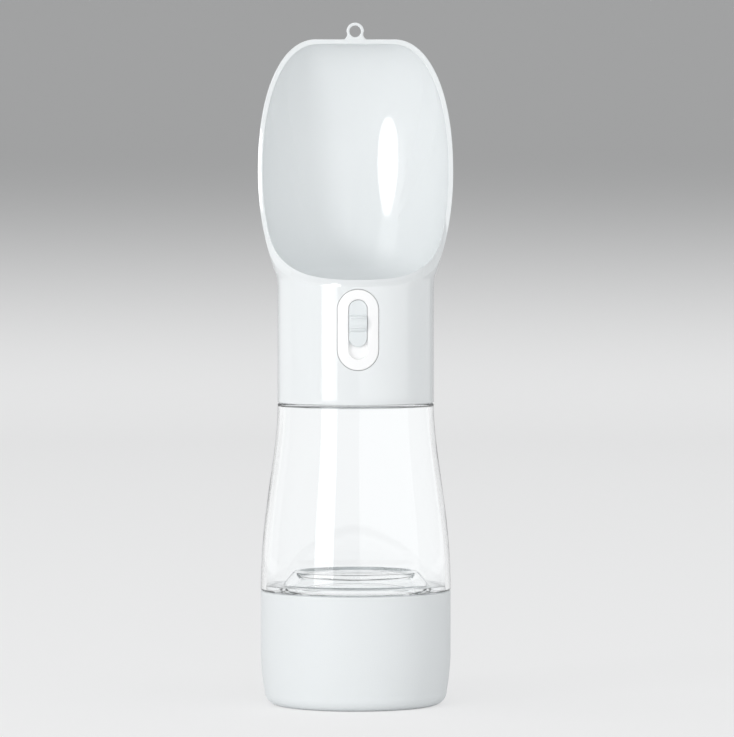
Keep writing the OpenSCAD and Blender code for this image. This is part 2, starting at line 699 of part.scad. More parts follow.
module lock_slider() color([0.90, 0.92, 0.93]) {
    width = slot_w - 2 * slider_gap;
    back_y = slot_y - 0.1;
    face_y = -(btn_face_r - 0.45);
    bow = (pow(ridge_half, 2) + pow(ridge_out, 2)) / (2 * ridge_out);
    union() {
        translate([0, 0, slider_z]) oval(width, slider_h, face_y, back_y);
        translate([0, 0, slider_z]) intersection() {
            translate([-width / 2, face_y + bow - ridge_out, 0]) rotate([0, 90, 0]) cylinder(r = bow, h = width);
            translate([-width / 2, face_y - ridge_out - 1, -ridge_half - 1])
                cube([width, ridge_out + 1.5, 2 * ridge_half + 2]);
        }
        for (z = [1.6, 2.5, -1.6, -2.5]) translate([0, 0, slider_z]) intersection() {
            translate([-width / 2 + 0.5, face_y + bow - ridge_out, 0]) rotate([0, 90, 0])
                cylinder(r = bow + 0.2, h = width - 1);
            translate([-width / 2, face_y - ridge_out - 1, z - rib_h / 2])
                cube([width, ridge_out + 1.5, rib_h]);
        }
        translate([-leg_half_w, back_y - 0.5, leg_z - leg_h / 2])
            cube([2 * leg_half_w, web_t + retainer_t + 1.2, leg_h]);
    }
}

module lock_retainer() color([0.90, 0.92, 0.93]) {
    plate_y = web_y + fit_gap;
    plate_low = leg_z - leg_h / 2 - plate_over;
    plate_h = leg_h + 2 * plate_over;
    window = face_gap;
    difference() {
        union() {
            translate([-3.2, plate_y, plate_low]) cube([6.4, retainer_t, plate_h]);
            translate([-1.5, plate_y + retainer_t - eps, plate_low + plate_h - arm_h])
                cube([3, arm_y - plate_y - retainer_t, arm_h]);
        }
        translate([-leg_half_w - window, plate_y - 1, leg_z - leg_h / 2 - window])
            cube([2 * (leg_half_w + window), retainer_t + 2, leg_h + 2 * window]);
    }
}

food_cup();
cup_gasket();
bottle_base();
bottle_wall();
neck_gasket();
bowl_head();
valve_housing();
outlet_gasket();
spring_cap();
return_spring();
valve_stem();
front_o_ring();
middle_o_ring();
rear_o_ring();
stem_screw();
push_button();
lock_slider();
lock_retainer();
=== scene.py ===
"""Looks of a two-in-one travel bottle for dogs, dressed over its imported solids.

A scoop-shaped drinking bowl with a push-button valve stands on a clear water bottle, and a
matt food cup closes it below. Sizes are in millimetres in the classes, metres in the meshes.
"""

import logging
import math
from collections.abc import Callable, Iterator
from contextlib import contextmanager
from dataclasses import dataclass, replace
from enum import Enum

import bpy
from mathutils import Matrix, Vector


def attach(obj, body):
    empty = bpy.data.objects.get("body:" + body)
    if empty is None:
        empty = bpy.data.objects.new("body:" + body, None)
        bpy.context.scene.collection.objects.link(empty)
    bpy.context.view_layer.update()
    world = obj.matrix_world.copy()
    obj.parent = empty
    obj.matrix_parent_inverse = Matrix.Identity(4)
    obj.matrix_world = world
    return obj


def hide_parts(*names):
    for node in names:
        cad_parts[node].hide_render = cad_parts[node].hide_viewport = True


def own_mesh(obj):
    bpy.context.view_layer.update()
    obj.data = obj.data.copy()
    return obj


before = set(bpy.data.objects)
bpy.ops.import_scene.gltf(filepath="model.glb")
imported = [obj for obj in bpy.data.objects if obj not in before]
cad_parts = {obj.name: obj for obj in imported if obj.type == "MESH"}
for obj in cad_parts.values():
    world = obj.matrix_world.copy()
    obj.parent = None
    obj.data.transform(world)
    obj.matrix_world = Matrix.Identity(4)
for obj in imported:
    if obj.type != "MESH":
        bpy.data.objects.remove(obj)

LOG = logging.getLogger("travel_bottle")
MM = 0.001
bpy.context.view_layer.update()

Point = tuple[float, float, float]
Profile = list[tuple[float, float]]
Colour = tuple[float, float, float]
Test = Callable[[Vector, Vector], bool]
Piece = bpy.types.Object
Tree = bpy.types.NodeTree
Node = bpy.types.Node
Socket = bpy.types.NodeSocket
Outputs = bpy.types.NodeOutputs
Inputs = dict[str | int, object]


class Body(str, Enum):
    """Bodies of the frame on which pieces ride."""

    CUP = "cup"
    BOTTLE = "bottle"
    HEAD = "head"
    BUTTON = "button"
    LOCK = "lock"


class Slot(str, Enum):
    """Material slots of the record, handed along with the new pieces but not used."""

    CUP = "cup_plastic"
    CLEAR = "clear_plastic"
    HEAD = "head_plastic"
    STEEL = "spring_steel"
    BUTTON = "button_plastic"
    SLIDER = "slider_plastic"


class Axis(Enum):
    """Axis along which a cylinder lies, with the turn that lays it there."""

    X = (0.0, math.pi / 2, 0.0)
    Y = (math.pi / 2, 0.0, 0.0)
    Z = (0.0, 0.0, 0.0)


class Part(Enum):
    """What is picked in edit mode, with the switches of the select mode."""

    CORNERS = (True, False, False)
    EDGES = (False, True, False)
    FACES = (False, False, True)


# ---- numbers and profiles ----


def mix(a: float, b: float, t: float) -> float:
    """Value between a and b at share t."""
    return a + (b - a) * t


def clamp(value: float, low: float = 0.0, high: float = 1.0) -> float:
    """Value kept between low and high."""
    return max(low, min(high, value))


def root(base: float, power: float) -> float:
    """The power-th root of a number that is taken as 0 when negative."""
    return max(0.0, base) ** (1.0 / power)


def cubic(t: float, a: float, b: float, c: float, d: float) -> float:
    """Value at share t of a cubic curve from a to d, drawn towards b and then c."""
    s = 1 - t
    return s**3 * a + 3 * s * s * t * b + 3 * s * t * t * c + t**3 * d


def arc(cx: float, cy: float, r: float, a0: float, a1: float, n: int) -> Profile:
    """Points on an arc.

    Args:
        cx: Centre, first coordinate.
        cy: Centre, second coordinate.
        r: Radius.
        a0: First angle in degrees.
        a1: Last angle in degrees.
        n: Number of segments.

    Returns:
        n + 1 points.
    """
    angles = [math.radians(mix(a0, a1, i / n)) for i in range(n + 1)]
    return [(cx + r * math.cos(a), cy + r * math.sin(a)) for a in angles]


def above(height: float) -> Vector:
    """A step straight up."""
    return Vector((0, 0, height))


def bend(start: Vector, corner: Vector, end: Vector, steps: int) -> list[Vector]:
    """Points of a rounded corner, without its start.

    Args:
        start: Where the rounding begins.
        corner: The sharp corner.
        end: Where the rounding ends.
        steps: Number of points.

    Returns:
        The points, the last one being the end.
    """
    made = []
    for k in range(1, steps + 1):
        t = k / steps
        made.append(start * (1 - t) ** 2 + corner * 2 * t * (1 - t) + end * t**2)
    return made


def rounded(corners: list[Point], steps: int = 5) -> Profile:
    """An open profile whose inner corners are rounded.

    Args:
        corners: Points (r, z, radius), where radius 0 keeps the corner sharp.
        steps: Steps of each rounding.

    Returns:
        The points of the profile.
    """
    made: Profile = []
    for i, (x, y, radius) in enumerate(corners):
        if radius <= 0 or i in (0, len(corners) - 1):
            made.append((x, y))
            continue
        here = Vector((x, y))
        before = (Vector(corners[i - 1][:2]) - here).normalized()
        after = (Vector(corners[i + 1][:2]) - here).normalized()
        reach = radius / math.tan(before.angle(after) / 2)
        start = here + before * reach
        made.append((start.x, start.y))
        made += [(p.x, p.y) for p in bend(start, here, here + after * reach, steps)]
    return made


# ---- modelling by hand ----


def select_only(piece: Piece) -> None:
    """Makes one object active with everything else deselected.

    Args:
        piece: The piece.
    """
    bpy.ops.object.select_all(action="DESELECT")
    piece.select_set(True)
    bpy.context.view_layer.objects.active = piece


def settle(name: str) -> Piece:
    """Names the primitive just added and puts its place, turn and scale into its mesh.

    Args:
        name: Its name.

    Returns:
        The piece.
    """
    piece = bpy.context.active_object
    piece.name = piece.data.name = name
    bpy.ops.object.transform_apply()
    return piece


@contextmanager
def edit(piece: Piece, part: Part = Part.CORNERS, test: Test | None = None) -> Iterator[None]:
    """Opens a piece in edit mode with what passes the test selected, or with all of it.

    Args:
        piece: The piece.
        part: Corners, edges or faces.
        test: Gets the middle in millimetres, and the normal, or an edge's direction.

    Returns:
        The context, which ends in object mode.
    """
    select_only(piece)
    if test:
        mesh = piece.data
        for group in (mesh.vertices, mesh.edges, mesh.polygons):
            group.foreach_set("select", [False] * len(group))
        if part is Part.CORNERS:
            for corner in mesh.vertices:
                corner.select = test(corner.co / MM, corner.normal)
        elif part is Part.EDGES:
            for edge in mesh.edges:
                a, b = (mesh.vertices[i].co for i in edge.vertices)
                edge.select = test((a + b) / 2 / MM, (b - a).normalized())
        else:
            for face in mesh.polygons:
                face.select = test(face.center / MM, face.normal)
    bpy.context.tool_settings.mesh_select_mode = part.value
    bpy.ops.object.mode_set(mode="EDIT")
    if not test:
        bpy.ops.mesh.select_all(action="SELECT")
    yield
    bpy.ops.object.mode_set(mode="OBJECT")


def extrude(step: Point) -> None:
    """Extrudes what is selected by a step in metres."""
    bpy.ops.mesh.extrude_region_move(TRANSFORM_OT_translate={"value": step})


def soften(
    piece: Piece, width: float, segments: int, angle: float = 30.0, clamped: bool = True
) -> None:
    """Rounds the edges of a piece.

    Args:
        piece: The piece.
        width: Width of the rounding.
        segments: Segments across it.
        angle: Only edges sharper than this are rounded, in degrees.
        clamped: Whether roundings that would overlap are narrowed.
    """
    modifier(
        piece, "BEVEL", width=width * MM, segments=segments, limit_method="ANGLE",
        angle_limit=math.radians(angle), use_clamp_overlap=clamped,
    )


def close_ends(piece: Piece) -> None:
    """Fills the open ends of a piece."""
    with edit(piece):
        bpy.ops.mesh.fill_holes(sides=0)


def round_picked(size: float, segments: int) -> None:
    """Rounds the selected edges."""
    bpy.ops.mesh.bevel(offset=size * MM, segments=segments, affect="EDGES")


def clean_up(piece: Piece, merge: float = 1e-6) -> None:
    """Merges doubles and turns all faces outwards.

    Args:
        piece: The piece.
        merge: Distance in metres below which corners merge.
    """
    with edit(piece):
        bpy.ops.mesh.remove_doubles(threshold=merge)
        bpy.ops.mesh.normals_make_consistent(inside=False)


def smooth(piece: Piece, angle: float = 32.0) -> None:
    """Shades a piece smooth, apart from edges sharper than the angle in degrees."""
    select_only(piece)
    bpy.ops.object.shade_smooth_by_angle(angle=math.radians(angle))


def modifier(piece: Piece, kind: str, **values: object) -> None:
    """Adds a modifier with the given values and applies it.

    Args:
        piece: The piece.
        kind: Type of the modifier.
        values: Values of its settings.
    """
    made = piece.modifiers.new(kind.lower(), kind)
    for key, value in values.items():
        setattr(made, key, value)
    select_only(piece)
    bpy.ops.object.modifier_apply(modifier=made.name)


def combine(piece: Piece, tool: Piece, operation: str) -> None:
    """Cuts, adds or keeps the tool's shape in the piece, and removes the tool."""
    modifier(piece, "BOOLEAN", operation=operation, object=tool, solver="EXACT")
    bpy.data.objects.remove(tool)


def join(main: Piece, *others: Piece) -> Piece:
    """Joins the others into the main piece.

    Args:
        main: The main piece.
        others: The others.

    Returns:
        The main piece.
    """
    select_only(main)
    for other in others:
        other.select_set(True)
    bpy.ops.object.join()
    return main


def add_cylinder(
    name: str, radius: float, depth: float, centre: Point, axis: Axis, vertices: int = 96
) -> Piece:
    """Adds a cylinder.

    Args:
        name: Its name.
        radius: Its radius.
        depth: Its length.
        centre: Its middle.
        axis: The axis along which it lies.
        vertices: Corners of its rim.

    Returns:
        The object.
    """
    bpy.ops.mesh.primitive_cylinder_add(
        vertices=vertices, radius=radius * MM, depth=depth * MM,
        location=[c * MM for c in centre], rotation=axis.value,
    )
    return settle(name)


def add_box(name: str, size: Point, centre: Point) -> Piece:
    """Adds a box of the given size about its centre."""
    bpy.ops.mesh.primitive_cube_add(size=MM, location=[c * MM for c in centre], scale=size)
    return settle(name)


def add_stadium(
    name: str, width: float, height: float, front: float, back: float, middle: float
) -> Piece:
    """Adds an upright stadium along Y: a cylinder whose halves are pulled apart.

    Args:
        name: Its name.
        width: Its width.
        height: Its height.
        front: Its front y.
        back: Its back y.
        middle: Level of its middle.

    Returns:
        The object.
    """
    corners = 96
    bpy.ops.mesh.primitive_cylinder_add(
        vertices=corners,
        radius=width / 2 * MM,
        depth=(back - front) * MM,
        location=(0, (front + back) / 2 * MM, middle * MM),
        rotation=(math.pi / 2, math.pi / corners, 0),
    )
    piece = settle(name)
    pull = (height - width) / 2
    for way in (1, -1):
        with edit(piece, Part.CORNERS, lambda p, n, way=way: (p.z - middle) * way > 0):
            bpy.ops.transform.translate(value=(0, 0, way * pull * MM))
    return piece


def draw_line(name: str, points: list[Point], closed: bool) -> Piece:
    """Draws a line by extruding one corner from point to point.

    Args:
        name: Name of the piece.
        points: The points.
        closed: Whether an edge joins the last point to the first.

    Returns:
        The line.
    """
    path = [Vector(p) for p in points]
    bpy.ops.mesh.primitive_plane_add(size=MM, location=path[0] * MM)
    piece = settle(name)
    with edit(piece):
        bpy.ops.mesh.merge(type="CENTER")
        for before, after in zip(path, path[1:]):
            step = (after - before) * MM
            bpy.ops.mesh.extrude_vertices_move(TRANSFORM_OT_translate={"value": step})
    if closed:
        ends = (path[0], path[-1])
        with edit(piece, Part.CORNERS, lambda p, n: min((p - e).length for e in ends) < 0.005):
            bpy.ops.mesh.edge_face_add()
    return piece


def spin_profile(name: str, profile: Profile, steps: int = 160) -> Piece:
    """Draws a profile and spins it round the bottle's axis.

    Args:
        name: Name of the piece.
        profile: Points (r, z), joined in a ring unless both ends lie on the axis.
        steps: Steps of the full turn.

    Returns:
        The closed solid of revolution.
    """
    closed = profile[0][0] > 0 or profile[-1][0] > 0
    piece = draw_line(name, [(r, 0.0, z) for r, z in profile], closed)
    with edit(piece):
        bpy.ops.mesh.spin(
            steps=steps, angle=2 * math.pi, center=(0, 0, 0), axis=(0, 0, 1), dupli=False
        )
    clean_up(piece)
    return piece


# ---- finishes ----


def feed(node: Node, inputs: Inputs) -> None:
    """Sets inputs of a node: links what is a socket and writes any other value.

    Args:
        node: The node.
        inputs: Sockets and values, by the input's name or number.
    """
    for key, value in inputs.items():
        if isinstance(value, bpy.types.NodeSocket):
            node.id_data.links.new(value, node.inputs[key])
        else:
            node.inputs[key].default_value = value


def add_node(tree: Tree, kind: str, inputs: Inputs | None = None, **settings: object) -> Outputs:
    """Adds a shader node.

    Args:
        tree: The node tree.
        kind: Its type, without the prefix ShaderNode.
        inputs: Sockets and values of its inputs, by name or number.
        settings: Values of its attributes.

    Returns:
        Its outputs.
    """
    made = tree.nodes.new("ShaderNode" + kind)
    for key, value in settings.items():
        setattr(made, key, value)
    feed(made, inputs or {})
    return made.outputs


def mix_shaders(tree: Tree, share: object, a: Socket, b: Socket) -> Socket:
    """Mixes the second shader into the first one by a share, and returns the result."""
    return add_node(tree, "MixShader", {0: share, 1: a, 2: b})[0]


def moulded_skin() -> Tree:
    """The group that all finishes of the bottle share: mottling, polish marks and fine grain.

    Returns:
        A node group with inputs Grain Scale, Mottle, Polish and outputs Tone, Roughness
        Shift and Height.
    """
    known = bpy.data.node_groups.get("moulded_skin")
    if known:
        return known
    tree = bpy.data.node_groups.new("moulded_skin", "ShaderNodeTree")
    number = "NodeSocketFloat"
    for name, value in (("Grain Scale", 900.0), ("Mottle", 0.015), ("Polish", 0.03)):
        socket = tree.interface.new_socket(name=name, in_out="INPUT", socket_type=number)
        socket.default_value = value
    for name in ("Tone", "Roughness Shift", "Height"):
        tree.interface.new_socket(name=name, in_out="OUTPUT", socket_type=number)
    given = tree.nodes.new("NodeGroupInput").outputs
    place = add_node(tree, "TexCoord")["Object"]

    def noise(scale: object, detail: float) -> Socket:
        """Noise of the given scale and detail in the piece's own space."""
        inputs = {"Vector": place, "Scale": scale, "Detail": detail}
        return add_node(tree, "TexNoise", inputs)["Fac"]

    def work_out(operation: str, a: object, b: object) -> Socket:
        """The result of a sum or product of two numbers."""
        return add_node(tree, "Math", {0: a, 1: b}, operation=operation)[0]

    def centred(source: Socket, amount: Socket) -> Socket:
        """Noise about 0, times the amount."""
        return work_out("MULTIPLY", work_out("SUBTRACT", source, 0.5), amount)

    found = {
        "Tone": work_out("ADD", centred(noise(22.0, 3.0), given["Mottle"]), 1.0),
        "Roughness Shift": centred(noise(140.0, 4.0), given["Polish"]),
        "Height": noise(given["Grain Scale"], 2.0),
    }
    feed(tree.nodes.new("NodeGroupOutput"), found)
    return tree


@dataclass(frozen=True)
class Finish:
    """A finish, whose node material is made once."""

    name: str  # name of the material

    def material(self) -> bpy.types.Material:
        """Makes the node material when it is first asked for.

        Returns:
            The material.
        """
        made = bpy.data.materials.get(self.name)
        if not made:
            made = bpy.data.materials.new(self.name)
            made.use_nodes = True
            self.wire(made.node_tree, made.node_tree.nodes["Principled BSDF"])
        return made

    def wire(self, tree: Tree, shader: Node) -> None:
        """Wires the nodes of the material round its shader."""
        raise NotImplementedError


@dataclass(frozen=True)
class SkinnedFinish(Finish):
    """A finish with the skin of a moulded piece."""

    colour: Colour  # base colour, linear, or the colour of the light that passes
    roughness: float  # mean roughness
    grain_scale: float = 900.0  # scale of the fine grain, per metre
    grain_depth: float = 0.00002  # height of the grain in metres
    mottle: float = 0.02  # spread of the tone
    polish: float = 0.03  # spread of the roughness

    def add_skin(self, tree: Tree, shader: Node) -> Socket:
        """Gives the shader the skin's roughness and grain.

        Args:
            tree: The material's nodes.
            shader: The shader.

        Returns:
            The skin's tone.
        """
        spread = {"Grain Scale": self.grain_scale, "Mottle": self.mottle, "Polish": self.polish}
        skin = add_node(tree, "Group", spread, node_tree=moulded_skin())
        parts = {0: skin["Roughness Shift"], 1: self.roughness}
        rough = add_node(tree, "Math", parts, operation="ADD", use_clamp=True)[0]
        relief = {"Strength": 1.0, "Distance": self.grain_depth, "Height": skin["Height"]}
        feed(shader, {"Roughness": rough, "Normal": add_node(tree, "Bump", relief)[0]})
        return skin["Tone"]


@dataclass(frozen=True)
class SolidFinish(SkinnedFinish):
    """An opaque plastic, rubber or steel."""

    coat: float = 0.0  # weight of a clear coat
    thin_share: float = 0.34  # share of the coat where the mask is 1
    satin_mask: str = ""  # a point attribute: 1 where the coat is thin, 1.5 where it is gone
    specular: float = 0.5  # specular level under the coat
    glow: float = 0.0  # weight of light scattered inside
    metal: float = 0.0  # 1 for metal

    def wire(self, tree: Tree, shader: Node) -> None:
        """Wires the nodes of the material round its shader."""
        tone = self.add_skin(tree, shader)
        grey = add_node(tree, "CombineColor", {"Red": tone, "Green": tone, "Blue": tone})[0]
        both = {0: 1.0, 6: (*self.colour, 1.0), 7: grey}
        tint = add_node(tree, "Mix", both, data_type="RGBA", blend_type="MULTIPLY")[2]
        coat: object = self.coat
        if self.satin_mask:
            mask = add_node(tree, "Attribute", attribute_name=self.satin_mask)["Fac"]
            ends = {"Value": mask, "To Min": self.coat, "To Max": self.thin_share * self.coat}
            coat = add_node(tree, "MapRange", ends, clamp=False)["Result"]
        feed(shader, {
            "Base Color": tint, "Metallic": self.metal, "Specular IOR Level": self.specular,
            "Coat Weight": coat, "Coat Roughness": 0.05, "Subsurface Weight": self.glow,
            "Subsurface Radius": (0.0015, 0.0015, 0.0015), "Subsurface Scale": 1.0,
        })


@dataclass(frozen=True)
class ClearFinish(SkinnedFinish):
    """Polished clear plastic, which lets light through to what is behind it."""

    ior: float = 1.5  # index of refraction

    def wire(self, tree: Tree, shader: Node) -> None:
        """Wires the nodes: shadows and light bounced off matt surfaces pass straight on."""
        self.add_skin(tree, shader)
        feed(shader, {
            "Base Color": (*self.colour, 1.0), "IOR": self.ior, "Transmission Weight": 1.0,
        })
        passing = add_node(tree, "BsdfTransparent", {"Color": (0.99, 0.995, 0.995, 1.0)})[0]
        path = add_node(tree, "LightPath")
        bounced = mix_shaders(tree, path["Is Diffuse Ray"], shader.outputs[0], passing)
        either = mix_shaders(tree, path["Is Shadow Ray"], bounced, passing)
        feed(tree.nodes["Material Output"], {"Surface": either})


HEAD_FINISH = SolidFinish(
    "head_gloss_white", (0.812, 0.836, 0.843), 0.10, 160.0, 0.000012, mottle=0.008, polish=0.02,
    coat=1.0, satin_mask="bowl_inside", specular=0.0,
)
CUP_FINISH = SolidFinish("cup_matt_white", (0.785, 0.81, 0.818), 0.55, 2600.0, 0.00005, polish=0.06)
BUTTON_FINISH = SolidFinish("button_white", (0.94, 0.94, 0.94), 0.38, 1800.0, 0.00001, mottle=0.006)
SLIDER_FINISH = SolidFinish("slider_pale_grey", (0.775, 0.810, 0.820), 0.30, 1800.0, 0.00001)
INNER_FINISH = SolidFinish("inner_white", (0.74, 0.76, 0.77), 0.42, 1500.0)
SILICONE_FINISH = SolidFinish("gasket_silicone", (0.70, 0.73, 0.75), 0.5, 2200.0, glow=0.3)
RUBBER_FINISH = SolidFinish("seal_ring_rubber", (0.03, 0.03, 0.032), 0.55, 2600.0)
STEEL = (0.62, 0.63, 0.65)
STEEL_FINISH = SolidFinish("bright_steel", STEEL, 0.24, 2500.0, 0.000005, polish=0.12, metal=1.0)
CLEAR_FINISH = ClearFinish("bottle_clear", (0.985, 0.993, 0.995), 0.01, 60.0, 0.00004, polish=0.008)
# The base bends light less than real plastic: with its full index it showed dark rings.
BASE_FINISH = replace(CLEAR_FINISH, name="base_clear", colour=(0.99, 0.995, 0.996), ior=1.12)


def dress(piece: Piece, finish: Finish) -> None:
    """Gives every material slot of a piece the finish.

    Args:
        piece: The piece.
        finish: The finish.
    """
    made = finish.material()
    if not piece.material_slots:
        piece.data.materials.append(made)
    for place in piece.material_slots:
        place.material = made


def hand_over(piece: Piece, finish: Finish, body: Body, slot: Slot, *nodes: str) -> None:
    """Dresses a piece, rides it on its body and hides the CAD nodes that it stands for.

    Args:
        piece: The piece.
        finish: The finish.
        body: The body that it rides on.
        slot: Its material slot in the record; not used.
        nodes: The CAD nodes that it stands for.
    """
    dress(piece, finish)
    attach(piece, body.value)
    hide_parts(*nodes)
    LOG.info("%s: %d faces on %s", piece.name, len(piece.data.polygons), body.value)


# ---- screw threads ----


@dataclass
class Thread:
    """A set of threads on a round wall, which sink into it at both ends."""

    wall_r: float  # radius of the wall
    high_z: float  # level of the threads' upper edge at the wall
    depth: float  # how far the threads stand out of the wall
    side: int = 1  # 1 on the outside of a wall, -1 on the inside
    starts: int = 3  # number of threads
    lead: float = 12.0  # rise in a full turn
    sweep: float = 110.0  # arc of each, in degrees
    root_half: float = 1.15  # half width at the wall
    crest_half: tuple[float, float] = (0.7, 0.4)  # half width below the crest, and at the crest
    near: float = 0.85  # share of the depth at which the easing starts
    sink: float = 0.3  # how far the root reaches into the wall
    end: float = 4.0  # length over which each end sinks
    steps: int = 44  # steps along a thread

    def section(self) -> list[Point]:
        """The section of a thread, with eased crest corners.

        Returns:
            Points (r, 0, z) round the section.
        """
        foot = self.wall_r - self.side * self.sink
        tip = self.wall_r + self.side * self.depth
        low_z = self.high_z - self.root_half - self.lead * self.sweep / 360
        near_half, tip_half = self.crest_half
        half = [(foot, self.root_half), (mix(foot, tip, self.near), near_half), (tip, tip_half)]
        below = [(r, 0.0, low_z - h) for r, h in half]
        return below + [(r, 0.0, low_z + h) for r, h in reversed(half)]

    def sink_end(self, piece: Piece, angle: float) -> None:
        """Eases the end of a thread into the wall.

        Args:
            piece: The thread.
            angle: Angle of the end, in degrees.
        """
        turn = math.radians(angle)
        out = Vector((math.cos(turn), math.sin(turn), 0))
        across = Vector((-out.y, out.x, 0))
        with edit(piece, Part.CORNERS, lambda p, n: abs(p.dot(across)) < 0.02 and p.dot(out) > 0):
            bpy.ops.transform.translate(
                value=out * (-self.side * self.depth * MM),
                use_proportional_edit=True,
                proportional_edit_falloff="SMOOTH",
                proportional_size=self.end * MM,
            )

    def build(self, name: str) -> Piece:
        """Models one thread and copies it round the wall.

        Args:
            name: Name of the piece.

        Returns:
            All threads as one piece.
        """
        first = draw_line(name, self.section(), closed=True)
        modifier(
            first, "SCREW", angle=math.radians(self.sweep), steps=self.steps,
            render_steps=self.steps, screw_offset=self.lead * self.sweep / 360 * MM,
        )
        close_ends(first)
        for angle in (0.0, self.sweep):
            self.sink_end(first, angle)
        copies = []
        for k in range(1, self.starts):
            other = first.copy()
            other.data = first.data.copy()
            bpy.context.scene.collection.objects.link(other)
            select_only(other)
            bpy.ops.transform.rotate(
                value=2 * math.pi * k / self.starts, orient_axis="Z", center_override=(0, 0, 0)
            )
            bpy.ops.object.transform_apply()
            copies.append(other)
        join(first, *copies)
        clean_up(first)
        smooth(first, 40)
        return first


# ---- food cup ----


@dataclass
class FoodCup:
    """The matt cup that holds the food."""

    height: float = 45.6  # height to the seam
    radius: float = 37.9  # outer radius
    wall: float = 2.0  # wall thickness
    floor: float = 2.4  # floor thickness
    corner: float = 5.4  # radius of the round corner below
    draft: float = 1.5  # how far the wall draws in
    draft_h: float = 22.0  # level at which the wall turns straight
    foot_w: float = 5.0  # width of the foot ring
    recess: float = 0.8  # depth of the recess inside the foot ring
    foot_round: float = 0.3  # rounding of the foot ring's inner edges
    rim_out: float = 0.45  # rounding of the rim's outer edge
    rim_in: float = 0.4  # rounding of the rim's inner edge
    thread_low: float = 4.0  # how far below the rim the threads end

    def side(self, inset: float, low: float) -> Profile:
        """Corner and drawn-in wall of the outside, or of the inside by an inset.

        Args:
            inset: 0 outside, the wall's thickness inside.
            low: How far its corner stands higher than the outside's.

        Returns:
            The points, from the bottom up.
        """
        bow = ((self.draft_h - self.corner) ** 2 + self.draft**2) / (2 * self.draft)
        angle = math.degrees(math.asin((self.draft_h - self.corner) / bow))
        round_part = arc(self.foot_r, self.corner + low, self.corner - inset, -90, -8, 18)
        return round_part + arc(self.radius - bow, self.draft_h, bow - inset, -angle, 0, 14)

    @property
    def foot_r(self) -> float:
        """Outer radius of the foot ring."""
        return self.radius - self.draft - self.corner

    def build(self) -> None:
        """Builds, dresses and hands over the cup."""
        ring, ease = self.foot_r - self.foot_w, self.foot_round
        recess = [(0, self.recess, 0), (ring, self.recess, ease)]
        under = rounded([*recess, (ring, 0, ease), (self.foot_r, 0, 0)], 4)
        inner = self.side(self.wall, self.floor - self.wall)
        inner_r, top = self.radius - self.wall, self.height
        rim = arc(self.radius - self.rim_out, top - self.rim_out, self.rim_out, 0, 90, 6)
        rim += arc(inner_r + self.rim_in, top - self.rim_in, self.rim_in, 90, 180, 5)
        profile = under[:-1] + self.side(0, 0) + rim + inner[::-1] + [(0, self.floor)]
        cup = spin_profile("food_cup_body", profile)
        smooth(cup)
        join(cup, Thread(inner_r, top - self.thread_low, 1.32, -1).build("food_cup_thread"))
        hand_over(cup, CUP_FINISH, Body.CUP, Slot.CUP, "food_cup")


# ---- clear bottle ----


